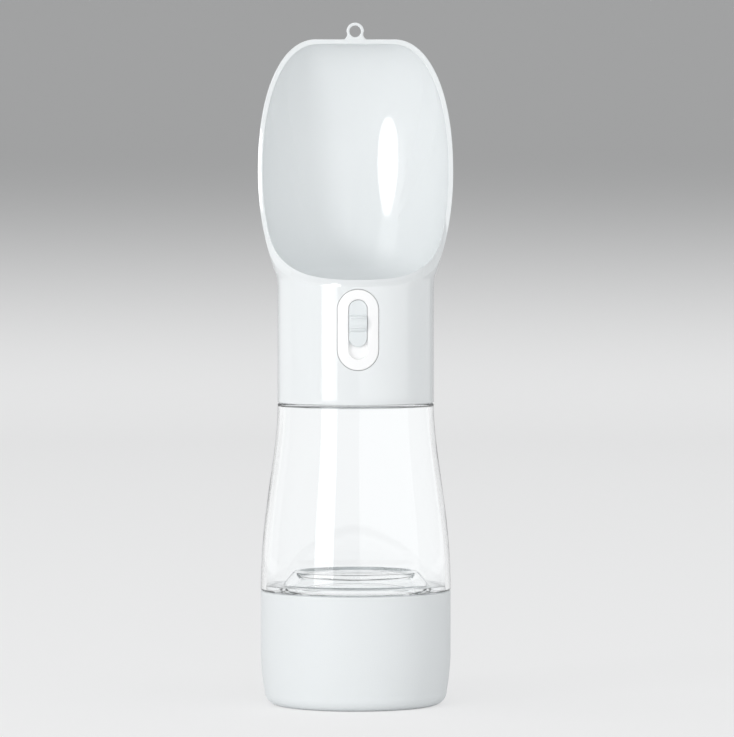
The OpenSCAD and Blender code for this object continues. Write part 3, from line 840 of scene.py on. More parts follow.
@dataclass
class ClearBottle:
    """The clear bottle: its waisted wall with the neck, and the base welded in below."""

    seam_low: float = 45.6  # level of the seam with the cup
    seam_high: float = 120.4  # level of the seam with the head
    foot_r: float = 37.96  # outer radius at the foot
    shoulder_r: float = 31.2  # outer radius at the shoulder
    wall: float = 2.0  # wall thickness
    neck_r: float = 26.25  # outer radius of the neck
    neck_h: float = 9.0  # height of the neck
    ledge: float = 0.9  # thickness of the ledge between wall and neck
    gap: float = 0.3  # gap above the cup
    shoulder_h: float = 2.4  # height of the straight shoulder above the waist
    shoulder_round: float = 0.8  # rounding of the shoulder's edge
    lean: float = 0.82  # power that moves the waist's steepest part
    skirt_r: float = 34.28  # outer radius of the base's threaded skirt
    skirt_w: float = 1.8  # wall of the skirt
    skirt_h: float = 10.2  # height of the skirt
    disc_t: float = 2.2  # thickness of the base's disc
    centre_h: float = 5.2  # how far its centre rises above the disc
    centre_r: float = 24.75  # outer radius of the raised centre
    centre_foot_r: float = 29.2  # radius of the raised centre's foot on the disc
    dish_r: float = 20.6  # radius of the dish in the raised centre
    dish: float = 1.0  # depth of the dish

    def radius_at(self, z: float) -> float:
        """Outer radius of the wall at a level.

        Args:
            z: The level.

        Returns:
            The radius.
        """
        shoulder = self.seam_high - self.shoulder_h
        t = clamp((shoulder - z) / (shoulder - self.seam_low)) ** self.lean
        return mix(self.shoulder_r, self.foot_r, (1 - math.cos(math.pi * t)) / 2)

    def curve(self, inset: float, z0: float, z1: float, steps: int = 56) -> Profile:
        """The wall's line from one level to another."""
        levels = [mix(z0, z1, i / steps) for i in range(steps + 1)]
        return [(self.radius_at(z) - inset, z) for z in levels]

    def build_wall(self) -> None:
        """Builds the wall with the neck and its thread."""
        low, high = self.seam_low + self.gap, self.seam_high
        top, ease = high + self.neck_h, self.shoulder_round
        outer = self.curve(0, low + 0.3, high - self.shoulder_h)
        shoulder = arc(self.shoulder_r - ease, high - ease, ease, 0, 90, 8)
        neck = rounded(
            [
                (self.shoulder_r - 1.5, high, 0),
                (self.neck_r, high, 0.5),
                (self.neck_r, top, 0.5),
                (self.neck_r - self.wall, top, 0.5),
                (self.neck_r - self.wall, high - self.ledge, 0.4),
                (self.shoulder_r - self.wall, high - self.ledge, 0.4),
                (self.shoulder_r - self.wall, high - self.ledge - 1.6, 0),
            ]
        )
        inner = self.curve(self.wall, low + 0.2, high - self.ledge - 1.8)[::-1]
        foot = [(self.radius_at(low) - self.wall + 0.2, low), (self.radius_at(low) - 0.3, low)]
        wall = spin_profile("bottle_clear_wall", outer + shoulder + neck + inner + foot)
        smooth(wall)
        join(wall, Thread(self.neck_r, top - 0.3, 1.2).build("bottle_neck_thread"))
        hand_over(wall, CLEAR_FINISH, Body.BOTTLE, Slot.CLEAR, "bottle_wall")

    def build_base(self) -> None:
        """Builds the base: a disc with a raised, dished centre and the threaded skirt."""
        low = self.seam_low + self.gap
        floor = low + self.disc_t
        crest = floor + self.centre_h
        skirt_r, skirt_in, skirt_low = self.skirt_r, self.skirt_r - self.skirt_w, low - self.skirt_h
        flange = self.foot_r - self.wall - 0.15
        profile = rounded(
            [
                (0, crest - 3.2, 0),
                (21.8, crest - 2.7, 2.0),
                (27.4, low, 1.2),
                (skirt_in, low, 0.4),
                (skirt_in, skirt_low, 0.4),
                (skirt_r, skirt_low, 0.4),
                (skirt_r, low, 0.15),
                (flange, low, 0.25),
                (flange, floor, 0.3),
                (self.centre_foot_r, floor, 1.4),
                (self.centre_r, crest, 0.75),
                (23.3, crest - 0.05, 0.6),
                (self.dish_r, crest - self.dish, 1.6),
                (0, crest - self.dish, 0),
            ],
            6,
        )
        base = spin_profile("bottle_clear_base", profile)
        smooth(base)
        join(base, Thread(skirt_r, self.seam_low - 2.0, 1.32).build("base_thread"))
        hand_over(base, BASE_FINISH, Body.BOTTLE, Slot.CLEAR, "bottle_base")

    def build(self) -> None:
        """Builds both pieces of the bottle."""
        self.build_wall()
        self.build_base()


# ---- bowl head ----


@dataclass
class BowlHead:
    """The glossy moulding: collar, scoop-shaped drinking bowl and hanging eye."""

    seam: float = 120.7  # level of the seam with the bottle
    collar_r: float = 31.2  # outer radius of the collar
    collar_levels: tuple[float, ...] = (124.0, 128.0, 132.0, 138.0, 144.0, 150.0, 156.0)  # its rows
    wall: float = 1.9  # wall of the collar and the bowl
    lip: float = 167.3  # level of the lip's outer edge
    width: float = 78.0  # greatest width
    flat_w: float = 30.4  # width of the flat stretch at the top
    wide_h: float = 45.5  # from the lip up to the greatest width
    height: float = 98.3  # from the lip up to the top edge
    side_half_h: float = 70.6  # half height of the ellipse of the sides
    back_r: float = 32.2  # from the axis to the back, at the greatest width
    lean_back: float = 6.0  # how far the top of the rim stands behind the axis
    lean_power: float = 1.3  # above 1, the rim leans back more and more
    flank_h: float = 18.0  # from the lip up to the rim's flanks, outside
    inner_flank_h: float = 25.0  # and inside
    lip_rise: float = 2.9  # from the lip's outer edge up to its inner edge
    top_power: float = 2.2  # fullness of the top's outline
    back_power: float = 2.4  # fullness of the back's outline
    lip_power: float = 2.6  # fullness of the lip's curve, round the bowl
    lip_turn: float = 1.6  # and upwards
    foot_turns: tuple[float, float] = (100.0, 155.0)  # angles where the columns' groups meet below
    floor_top: float = 168.8  # top of the bowl's floor
    floor_low: float = 167.0  # its underside
    outlet_y: float = -7.0  # middle of the water's outlet
    outlet_r: float = 3.75  # its radius
    outlet_round: float = 0.35  # rounding of its edge
    rim_round: float = 0.45  # rounding of the rim's edges
    seam_out: float = 0.5  # rounding of the collar's lower outer edge
    seam_in: float = 0.4  # and of its inner edge
    floor_round: float = 7.0  # rounding between the bowl's floor and wall
    matt_h: float = 14.0  # height above the floor at which the matt mask ends
    matt_fade: float = 7.0  # height over which it fades
    eye_r: float = 3.5  # outer radius of the hanging eye
    eye_hole_r: float = 2.3  # radius of its hole
    eye_rise: float = 3.2  # from the top edge up to its middle
    eye_t: float = 2.6  # its thickness
    eye_y: float = 6.15  # its front
    eye_fillet: float = 2.2  # radius of the fillets at its foot
    eye_round: float = 0.5  # rounding of its edges
    opening_w: float = 16.6  # width of the button's opening
    opening_h: float = 32.2  # its height
    opening_z: float = 150.35  # level of its middle
    opening_back: float = -22.5  # how far back it is cut
    sleeve_wall: float = 1.2  # wall of the button's sleeve
    sleeve_back: float = -24.5  # its back end
    rib_size: tuple[float, float] = (8.0, 1.4)  # width and thickness of the lock's stop rib
    rib_low: float = 162.1  # its lower end
    rib_y: float = -16.9  # its middle
    lip_cols: int = 60  # columns of the loft along half of the lip
    flank_cols: int = 64  # along a flank
    top_cols: int = 26  # along half of the top
    outer_rows: int = 72  # rows from the rim down the outside
    inner_rows: int = 60  # rows from the rim down the inside
    floor_rows: int = 8  # rows round the floor's edge, and on to the outlet
    row_power: float = 1.25  # above 1, rows crowd towards the rim
    path_steps: int = 240  # steps of the fine path on which the rows are laid
    path_power: float = 1.6  # above 1, its steps crowd towards the rim

    @property
    def wide_z(self) -> float:
        """Level at which the bowl is widest."""
        return self.lip + self.wide_h

    @property
    def top_z(self) -> float:
        """Level of the bowl's top edge."""
        return self.lip + self.height

    @property
    def half(self) -> int:
        """Columns from the front to the back."""
        return self.lip_cols + self.flank_cols + self.top_cols

    def half_width(self, z: float, inset: float) -> float:
        """Half width of the outside, or of the inside by an inset, at a level.

        Args:
            z: The level.
            inset: 0 outside, the wall's thickness inside.

        Returns:
            The half width.
        """
        if z > self.wide_z:
            t = clamp((z - self.wide_z) / (self.top_z - inset - self.wide_z))
            flat = self.flat_w / 2 - inset / 2
            full = self.width / 2 - inset
            return flat + (full - flat) * root(1 - t**self.top_power, self.top_power)
        side = (self.width / 2 - inset) * math.sqrt(
            max(0.0, 1 - ((self.wide_z - z) / self.side_half_h) ** 2)
        )
        round_r = self.collar_r - inset
        return (round_r + side + math.hypot(round_r - side, 0.4)) / 2

    def lean(self, z: float) -> float:
        """How far the rim stands behind the axis at a level.

        Args:
            z: The level.

        Returns:
            The distance.
        """
        low = self.lip + self.flank_h
        if z < low:
            return 0.0
        return self.lean_back * ((z - low) / (self.top_z - low)) ** self.lean_power

    def back(self, z: float, inset: float) -> float:
        """Distance from the axis to the back at a level.

        Args:
            z: The level.
            inset: 0 outside, the wall's thickness inside.

        Returns:
            The distance.
        """
        if z > self.wide_z:
            t = clamp((z - self.wide_z) / (self.top_z - inset - self.wide_z))
            lean, power = self.lean(z), self.back_power
            return lean + (self.back_r - inset - lean) * root(1 - t**power, power)
        swell = math.sin(math.pi / 2 * clamp((z - self.lip) / self.wide_h))
        return mix(self.collar_r, self.back_r, swell) - inset

    def skin(self, z: float, a: float, inset: float) -> Vector:
        """A point of the skin at a level and at an angle from the front in degrees.

        Args:
            z: The level.
            a: Angle from the front, in degrees.
            inset: 0 outside, the wall's thickness inside.

        Returns:
            The point.
        """
        turn = math.radians(a)
        x = self.half_width(z, inset) * math.sin(turn)
        lean = self.lean(z)
        reach = self.collar_r - inset if a < 90 else self.back(z, inset) - lean
        return Vector((x, lean - reach * math.cos(turn), z))

    def rim_angle(self, j: int) -> float:
        """Angle at which column j meets the rim.

        Args:
            j: The column, from 0 at the front to half at the back.

        Returns:
            The angle in degrees.
        """
        if j <= self.lip_cols:
            return 90 * j / self.lip_cols
        if j <= self.lip_cols + self.flank_cols:
            return 90.0
        return 90 + 90 * (j - self.lip_cols - self.flank_cols) / self.top_cols

    def rim_level(self, j: int, inset: float) -> float:
        """Level at which column j meets the rim.

        Args:
            j: The column, from 0 at the front to half at the back.
            inset: 0 outside, the wall's thickness inside.

        Returns:
            The level.
        """
        low = self.lip + (self.lip_rise if inset > 0 else 0)
        high = self.inner_flank_h if inset > 0 else self.flank_h
        top = self.top_z - inset
        if j <= self.lip_cols:
            q = (self.rim_angle(j) / 90) ** self.lip_power
            return low + high * (1 - root(1 - q, self.lip_turn))
        u = (j - self.lip_cols) / self.flank_cols
        return low + high + (top - low - high) * math.sin(math.pi / 2 * u) if u < 1 else top

    def foot_angle(self, j: int) -> float:
        """Angle at which column j leaves the collar.

        Args:
            j: The column, from 0 at the front to half at the back.

        Returns:
            The angle in degrees.
        """
        low, high = self.foot_turns
        if j <= self.lip_cols:
            return low * j / self.lip_cols
        if j <= self.lip_cols + self.flank_cols:
            return low + (high - low) * (j - self.lip_cols) / self.flank_cols
        return high + (180 - high) * (j - self.lip_cols - self.flank_cols) / self.top_cols

    def edge(self, j: int, inset: float) -> Vector:
        """The sharp rim's point at column j."""
        return self.skin(self.rim_level(j, inset), self.rim_angle(j), inset)

    def column_path(self, j: int, inset: float, low: float) -> list[Vector]:
        """Column j on the skin, from the rim, which it leaves squarely, down to a low level.

        Args:
            j: Column.
            inset: 0 outside, the wall's thickness inside.
            low: Level at which it ends.

        Returns:
            Closely spaced points of the skin.
        """
        z0, a0 = self.rim_level(j, inset), self.rim_angle(j)
        foot = self.foot_angle(j)
        here = self.edge(j, inset)
        up = above(1)
        if a0 <= 90 and z0 < self.top_z - inset - 0.02:
            up = (self.skin(z0 + 0.01, a0, inset) - here) / 0.01
        round_way = (self.skin(z0, a0 + 0.05, inset) - self.skin(z0, a0 - 0.05, inset)) / 0.1
        if j in (0, self.half):
            along = Vector((1, 0, 0))
        else:
            along = (self.edge(j + 1, inset) - self.edge(j - 1, inset)).normalized()
        dz, da = -round_way.dot(along), up.dot(along)
        if dz > 0 or (abs(dz) < 1e-6 and da < 0):
            dz, da = -dz, -da
        size = (up * dz + round_way * da).length
        chord = (here - self.skin(low, foot, inset)).length
        reach = 0.3 * chord / max(size, 1e-9)
        if abs(da) > 1e-9:
            reach = min(reach, max(0.5, 0.5 * (foot - a0)) / abs(da))
        if dz < -1e-9:
            reach = min(reach, 0.5 * (z0 - low) / -dz)
        z1, a1 = z0 + dz * reach, a0 + max(da, 0.0) * reach
        z2 = low + 0.35 * (z0 - low)
        shares = [(k / self.path_steps) ** self.path_power for k in range(self.path_steps + 1)]
        return [
            self.skin(cubic(t, z0, z1, z2, low), cubic(t, a0, a1, foot, foot), inset)
            for t in shares
        ]

    def spread(self, path: list[Vector], start: float, rows: int) -> list[Vector]:
        """Points along a path from a distance to its end, closer together at its start.

        Args:
            path: The path's points.
            start: Distance of the first point, in millimetres.
            rows: Number of steps.

        Returns:
            rows + 1 points.
        """
        length = [0.0]
        for a, b in zip(path, path[1:]):
            length.append(length[-1] + (b - a).length)
        made = []
        at = 0
        for i in range(rows + 1):
            want = start + (length[-1] - start) * (i / rows) ** self.row_power
            while at < len(path) - 2 and length[at + 1] < want:
                at += 1
            step = max(length[at + 1] - length[at], 1e-9)
            made.append(path[at].lerp(path[at + 1], clamp((want - length[at]) / step)))
        return made

    def column(self, j: int) -> list[Vector]:
        """One closed loop of points through the wall at column j.

        It runs up the outside, over the rim, down into the bowl, over its floor to the
        outlet, back below the floor and down inside the collar.

        Args:
            j: Column, from 0 at the front to half at the back.

        Returns:
            The loop's points.
        """
        foot = math.radians(self.foot_angle(j))
        out = Vector((math.sin(foot), -math.cos(foot), 0))
        levels = (self.seam + self.seam_out, *self.collar_levels)
        loop = [out * self.collar_r + above(z) for z in levels]
        edge_out, edge_in = self.edge(j, 0), self.edge(j, self.wall)
        across = (edge_in - edge_out).normalized()
        down = self.spread(self.column_path(j, 0, self.lip - 6), self.rim_round, self.outer_rows)
        loop += down[::-1]
        loop += bend(down[0], edge_out, edge_out + across * self.rim_round, 6)
        loop.append((edge_out + edge_in) / 2)
        room = self.rim_level(j, self.wall) - self.floor_top
        fillet = min(self.floor_round, 0.75 * (room - 0.6))
        low = self.floor_top + fillet
        near = min(self.rim_round, 0.35 * room)
        down = self.spread(self.column_path(j, self.wall, low), near, self.inner_rows)
        loop.append(edge_in - across * near)
        loop += bend(loop[-1], edge_in, down[0], 6)
        loop += down[1:]
        wall_foot = loop[-1].copy()
        turn = self.foot_angle(j)
        ahead = self.skin(low, min(180.0, turn + 0.5), self.wall)
        along = ahead - self.skin(low, max(0.0, turn - 0.5), self.wall)
        inner = Vector((along.y, -along.x, 0)).normalized()
        if inner.dot(Vector((wall_foot.x, wall_foot.y, 0))) > 0:
            inner.negate()
        if j in (0, self.half):
            inner.x = 0.0
            inner.normalize()
        for k in range(1, self.floor_rows + 1):
            t = math.pi / 2 * k / self.floor_rows
            sunk = above(fillet * math.sin(t))
            loop.append(wall_foot + inner * fillet * (1 - math.cos(t)) - sunk)
        floor_edge = loop[-1].copy()
        outlet = Vector((0, self.outlet_y, self.floor_top)) + out * self.outlet_r
        rows = self.floor_rows
        loop += [floor_edge.lerp(outlet, k / rows) for k in range(1, rows)]
        rim = outlet + out * self.outlet_round
        loop.append(rim)
        loop += bend(rim, outlet, outlet - above(self.outlet_round), 3)
        below = Vector((outlet.x, outlet.y, self.floor_low))
        inside = out * (self.collar_r - self.wall)
        loop += [below, below.lerp(inside + above(self.floor_low), 0.5)]
        levels = (self.floor_low, 150.0, 135.0, self.seam + self.seam_in)
        loop += [inside + above(z) for z in levels]
        low_in = inside + above(self.seam)
        loop += bend(loop[-1], low_in, low_in + out * self.seam_in, 3)
        low_out = out * self.collar_r + above(self.seam)
        begin = low_out - out * self.seam_out
        end = low_out + above(self.seam_out)
        return loop + [begin] + bend(begin, low_out, end, 5)[:-1]

    def shell(self) -> Piece:
        """Lofts the wall from its columns, since no operator gives the scoop's free form.

        Returns:
            The closed wall of the collar and the bowl, with its floor.
        """
        right = [self.column(j) for j in range(self.half + 1)]
        left = [[Vector((-p.x, p.y, p.z)) for p in right[j]] for j in range(self.half - 1, 0, -1)]
        columns = right + left
        count, rows = len(columns), len(columns[0])
        points = [column[r] * MM for r in range(rows) for column in columns]
        faces = []
        for r in range(rows):
            a, b = r * count, (r + 1) % rows * count
            for c in range(count):
                d = (c + 1) % count
                faces.append((a + c, a + d, b + d, b + c))
        mesh = bpy.data.meshes.new("bowl_head_moulding")
        mesh.from_pydata(points, [], faces)
        piece = bpy.data.objects.new("bowl_head_moulding", mesh)
        bpy.context.scene.collection.objects.link(piece)
        clean_up(piece, 2e-7)
        return piece

    def eye(self) -> Piece:
        """The hanging eye on its filleted foot: an outline that is filled, thickened and bored.

        Returns:
            The eye.
        """
        middle = self.top_z + self.eye_rise
        foot_z = self.top_z + self.eye_fillet - 0.15
        foot_half = self.eye_r + self.eye_fillet - 0.3
        gap = math.hypot(foot_half, middle - foot_z)
        lift = math.degrees(math.atan2(middle - foot_z, -foot_half))
        meet = lift - 180
        if gap < self.eye_r + self.eye_fillet:
            cosine = (gap**2 + self.eye_r**2 - self.eye_fillet**2) / (2 * gap * self.eye_r)
            meet += math.degrees(math.acos(clamp(cosine, -1, 1)))
        circle = arc(0, middle, self.eye_r, meet, 180 - meet, 40)
        turn = math.degrees(math.atan2(circle[0][1] - foot_z, circle[0][0] - foot_half)) % 360
        right = arc(foot_half, foot_z, self.eye_fillet, 268, turn, 8)
        left = [(-x, z) for x, z in right[::-1]]
        low = self.top_z - 1.0
        base = [(-foot_half, low), (foot_half, low)]
        outline = [(x, self.eye_y, z) for x, z in right + circle[1:-1] + left + base]
        piece = draw_line("hanging_eye", outline, closed=True)
        with edit(piece):
            bpy.ops.mesh.edge_face_add()
            extrude((0, self.eye_t * MM, 0))
        clean_up(piece)
        centre = (0, self.eye_y + self.eye_t / 2, middle)
        bore = add_cylinder("eye_bore", self.eye_hole_r, 2 * self.eye_t, centre, Axis.Y, 48)
        combine(piece, bore, "DIFFERENCE")
        soften(piece, self.eye_round, 4, 50)
        smooth(piece, 40)
        return piece

    def sleeve(self) -> Piece:
        """The sleeve behind the opening, which guides the button.

        Returns:
            The sleeve.
        """
        wall = 2 * self.sleeve_wall
        w, h, y = self.opening_w + wall, self.opening_h + wall, self.wall - self.collar_r
        piece = add_stadium("button_sleeve", w, h, y - 0.3, self.sleeve_back, self.opening_z)
        combine(piece, self.opening("sleeve_tool"), "DIFFERENCE")
        smooth(piece)
        return piece

    def opening(self, name: str) -> Piece:
        """The tool that cuts the button's opening.

        Args:
            name: Its name.

        Returns:
            The tool.
        """
        front = -self.collar_r - 3
        size = (self.opening_w, self.opening_h)
        return add_stadium(name, *size, front, self.opening_back, self.opening_z)

    def stop_rib(self) -> Piece:
        """The rib below the bowl's floor that stops the lock's arm.

        Returns:
            The rib.
        """
        low, high = self.rib_low, self.floor_low + 0.5
        rib = add_box("stop_rib", (*self.rib_size, high - low), (0, self.rib_y, (low + high) / 2))
        soften(rib, 0.2, 2)
        return rib

    def inside_share(self, p: Vector) -> float:
        """1 on the bowl's inner skin, 1.5 on its matt floor, else 0.

        Args:
            p: The point.

        Returns:
            The mask's value.
        """
        if p.z < self.floor_top - 0.5:
            return 0.0
        half_wall = self.wall / 2
        z = min(p.z, self.top_z - self.wall)
        lean = self.lean(z)
        reach = self.collar_r - half_wall
        if p.y >= lean:
            reach = max(self.back(z, half_wall) - lean, 0.1)
        if math.hypot(p.x / self.half_width(z, half_wall), (p.y - lean) / reach) >= 1:
            return 0.0
        return 1.0 + 0.5 * clamp((self.floor_top + self.matt_h - p.z) / self.matt_fade)

    def mark_inside(self, piece: Piece) -> None:
        """Marks the bowl's inside, which is less polished than the outside."""
        marks = piece.data.attributes.new("bowl_inside", "FLOAT", "POINT")
        marks.data.foreach_set("value", [self.inside_share(v.co / MM) for v in piece.data.vertices])

    def build(self) -> None:
        """Builds, dresses and hands over the head."""
        head = self.shell()
        combine(head, self.opening("opening_tool"), "DIFFERENCE")
        smooth(head, 30)
        join(head, self.eye(), self.sleeve(), self.stop_rib())
        self.mark_inside(head)
        hand_over(head, HEAD_FINISH, Body.HEAD, Slot.HEAD, "bowl_head")


# ---- button and lock ----


@dataclass
class PushButton:
    """The oval button with the lock's recess."""

    middle: float = 150.35  # level of its middle
    width: float = 16.3
    height: float = 31.9
    face_r: float = 31.4  # radius of its curved face about the bottle's axis
    slot_w: float = 7.5  # width of the recess
    slot_h: float = 23.5  # height of the recess
    slot_z: float = 150.55  # level of the recess's middle
    slot_y: float = -29.4  # depth of the recess's floor
    web_y: float = -27.6  # back of the recess's floor
    back_y: float = -25.5  # back edge of the rim
    wall: float = 1.4  # wall of the rim
    edge: float = 0.45  # rounding of the outer edge
    slot_edge: float = 0.25  # rounding of the recess's edge
    loops: int = 4  # loops of faces on the front
    slit_size: Point = (3.0, 6.0, 7.0)  # size of the slit for the lock's arm
    slit_rise: float = 7.65  # from the button's middle up to the slit's

    def front_loops(self, piece: Piece) -> None:
        """Insets the front face in loops down to the recess's outline.

        Args:
            piece: The piece.
        """
        step = (self.width - self.slot_w) / 2 / self.loops
        with edit(piece, Part.FACES, lambda p, n: n.y < -0.9):
            for _ in range(self.loops):
                bpy.ops.mesh.inset(thickness=step * MM)
            share = self.slot_h / (self.height - self.width + self.slot_w)
            place = (0, 0, self.slot_z * MM)
            bpy.ops.transform.translate(value=(0, 0, (self.slot_z - self.middle) * MM))
            bpy.ops.transform.resize(value=(1, 1, share), center_override=place)

    def curve_front(self, piece: Piece) -> None:
        """Lays the front's corners on a cylinder about the bottle's axis.

        Args:
            piece: The piece.
        """
        front = min(v.co.y for v in piece.data.vertices)
        group = piece.vertex_groups.new(name="front")
        group.add([v.index for v in piece.data.vertices if v.co.y < front + 1e-5], 1.0, "REPLACE")
        centre = (0, 0, self.middle)
        former = add_cylinder("face_former", self.face_r, 60, centre, Axis.Z, 720)
        modifier(
            piece, "SHRINKWRAP", target=former, wrap_method="PROJECT", vertex_group="front",
            use_project_y=True, use_positive_direction=True, use_negative_direction=False,
        )
        bpy.data.objects.remove(former)

    def sink_recess(self, piece: Piece) -> None:
        """Sinks the recess to its flat floor.

        Args:
            piece: The piece.
        """
        side = (self.slot_h - self.slot_w) / 2

        def inside(p: Vector, way: Vector) -> bool:
            """Whether a face's middle lies in front and within the recess's outline."""
            over = max(0.0, abs(p.z - self.slot_z) - side)
            return way.y < -0.9 and math.hypot(p.x, over) < self.slot_w / 2 - 0.4

        with edit(piece, Part.FACES, inside):
            extrude((0, 2 * MM, 0))
            bpy.ops.transform.resize(value=(1, 0, 1), center_override=(0, self.slot_y * MM, 0))

    def hollow_back(self, piece: Piece) -> None:
        """Hollows the back behind the rim.

        Args:
            piece: The piece.
        """
        with edit(piece, Part.FACES, lambda p, n: n.y > 0.9):
            bpy.ops.mesh.inset(thickness=self.wall * MM)
            extrude((0, (self.web_y - self.back_y) * MM, 0))

    def round_edge(self, piece: Piece) -> None:
        """Rounds the front's outer edge.

        Args:
            piece: The piece.
        """
        side = (self.height - self.width) / 2

        def on_outline(p: Vector, way: Vector) -> bool:
            """Whether an edge's middle lies on the outline, in front, and runs along it."""
            up = p.z - self.middle
            over = math.copysign(max(0.0, abs(up) - side), up)
            off = abs(math.hypot(p.x, over) - self.width / 2)
            front = -math.sqrt(self.face_r**2 - p.x**2)
            return off < 0.06 and abs(p.y - front) < 0.12 and abs(way.y) < 0.6

        with edit(piece, Part.EDGES, on_outline):
            round_picked(self.edge, 5)

    def build(self) -> None:
        """Builds, dresses and hands over the button."""
        button = add_stadium(
            "push_button_cap", self.width, self.height, -self.face_r - 1, self.back_y, self.middle
        )
        self.front_loops(button)
        self.curve_front(button)
        self.sink_recess(button)
        self.hollow_back(button)
        self.round_edge(button)
        clean_up(button)
        soften(button, self.slot_edge, 3, 60, clamped=False)
        place = (0, (self.slot_y + self.web_y) / 2, self.middle + self.slit_rise)
        slit = add_box("leg_slit", self.slit_size, place)
        combine(button, slit, "DIFFERENCE")
        smooth(button, 34)
        hand_over(button, BUTTON_FINISH, Body.BUTTON, Slot.BUTTON, "push_button")


@dataclass
class LockSlider:
    """The slider in the button's recess, with its ribbed half-round thumb ridge."""

    middle: float = 152.9  # level of its middle
    width: float = 7.2
    height: float = 18.5
    face_y: float = -30.95  # depth of its flat face
    back_y: float = -29.5  # depth of its back
    ridge_half: float = 3.4  # half height of the ridge
    ridge_out: float = 2.0  # how far the ridge stands out
    rib_levels: tuple[float, ...] = (-2.5, -1.6, 1.6, 2.5)  # of the fine ribs about the middle
    rib_r: float = 0.3  # radius of a rib
    rib_out: float = 0.2  # how far a rib stands out
    leg_z: float = 160.5  # level of the leg
    leg_back: float = -25.9  # where the leg ends
    leg_size: tuple[float, float] = (2.6, 3.3)  # width and height of the leg
    edge: float = 0.35  # rounding of the front edges

    def plate(self) -> Piece:
        """The flat slider with its rounded front edge.

        Returns:
            The slider's plate.
        """
        plate = add_stadium(
            "lock_slider_cap", self.width, self.height, self.face_y, self.back_y, self.middle
        )
        front = self.face_y + 0.01
        with edit(plate, Part.EDGES, lambda p, way: p.y < front):
            round_picked(self.edge, 4)
        return plate

    def ridge(self) -> Piece:
        """The half-round thumb ridge with its ribs.

        Returns:
            The ridge.
        """
        bow = (self.ridge_half**2 + self.ridge_out**2) / (2 * self.ridge_out)
        y = self.face_y + bow - self.ridge_out
        width = self.width - 0.1
        ridge = add_cylinder("thumb_ridge", bow, width, (0, y, self.middle), Axis.X, 160)
        with edit(ridge, Part.EDGES, lambda p, way: abs(p.x) > width / 2 - 0.01):
            round_picked(self.edge, 4)
        for level in self.rib_levels:
            rib_y = y - math.sqrt(bow**2 - level**2) + self.rib_r - self.rib_out
            centre = (0, rib_y, self.middle + level)
            rib = add_cylinder("thumb_rib", self.rib_r, width - 1.2, centre, Axis.X, 20)
            soften(rib, 0.12, 2)
            combine(ridge, rib, "UNION")
        behind = add_box("ridge_trim", (20, 20, 20), (0, self.back_y - 0.3 + 10, self.middle))
        combine(ridge, behind, "DIFFERENCE")
        return ridge

    def leg(self) -> Piece:
        """The leg that reaches through the button's floor to the retainer.

        Returns:
            The leg.
        """
        front = self.back_y - 0.3
        width, height = self.leg_size
        centre = (0, (front + self.leg_back) / 2, self.leg_z)
        leg = add_box("lock_leg", (width, self.leg_back - front, height), centre)
        soften(leg, 0.15, 2)
        return leg

    def build(self) -> None:
        """Builds, dresses and hands over the slider."""
        slider = self.plate()
        combine(slider, self.ridge(), "UNION")
        join(slider, self.leg())
        smooth(slider, 38)
        hand_over(slider, SLIDER_FINISH, Body.LOCK, Slot.SLIDER, "lock_slider")


# ---- valve, inside the head ----


@dataclass
class ReturnSpring:
    """The coil spring that brings the button back, pressed together as the button goes in."""

    wire: float = 0.35  # radius of the wire
    radius: float = 3.0  # mean radius of the coil
    turns: int = 6  # number of curls
    low_y: float = 8.15  # where it stands on the stem
    high_y: float = 18.85  # where it stands on the cap
    middle_z: float = 150.35  # level of its axis
    steps: int = 36  # steps of a curl

    def build(self) -> None:
        """Winds the wire, then dresses and hands over the spring."""
        bpy.ops.mesh.primitive_circle_add(
            vertices=10, radius=self.wire * MM, location=(self.radius * MM, 0, 0)
        )
        spring = settle("return_spring_coil")
        rise = self.high_y - self.low_y - 2 * self.wire
        modifier(
            spring, "SCREW", axis="Y", screw_offset=rise / self.turns * MM, iterations=self.turns,
            steps=self.steps, render_steps=self.steps,
        )
        spring.location = (0, (self.low_y + self.wire) * MM, self.middle_z * MM)
        bpy.ops.object.transform_apply()
        close_ends(spring)
        clean_up(spring)
        smooth(spring)
        hand_over(spring, STEEL_FINISH, Body.HEAD, Slot.STEEL, "return_spring")
        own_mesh(spring)


@dataclass(frozen=True)
class ValveInside:
    """The CAD nodes that stay as they are and only get their finish."""

    def build(self) -> None:
        """Dresses the nodes of the valve, the gaskets and the lock's retainer."""
        finishes = {
            "valve_housing": INNER_FINISH,
            "spring_cap": INNER_FINISH,
            "valve_stem": INNER_FINISH,
            "lock_retainer": SLIDER_FINISH,
            "stem_screw": STEEL_FINISH,
            "outlet_gasket": SILICONE_FINISH,
            "neck_gasket": SILICONE_FINISH,
            "cup_gasket": SILICONE_FINISH,
            "front_o_ring": RUBBER_FINISH,
            "middle_o_ring": RUBBER_FINISH,
            "rear_o_ring": RUBBER_FINISH,
        }
        for node, finish in finishes.items():
            dress(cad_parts[node], finish)
            LOG.info("%s: dressed as %s", node, finish.name)


# ---- studio ----


def stand(thing: Piece, place: Point, aim: Point) -> None:
    """Puts a lamp or a camera into the scene at a place, facing a point, both in metres.

    Args:
        thing: The lamp or camera.
        place: The place.
        aim: The point that it faces.
    """
    bpy.context.scene.collection.objects.link(thing)
    thing.location = place
    thing.rotation_euler = (Vector(aim) - Vector(place)).to_track_quat("-Z", "Y").to_euler()


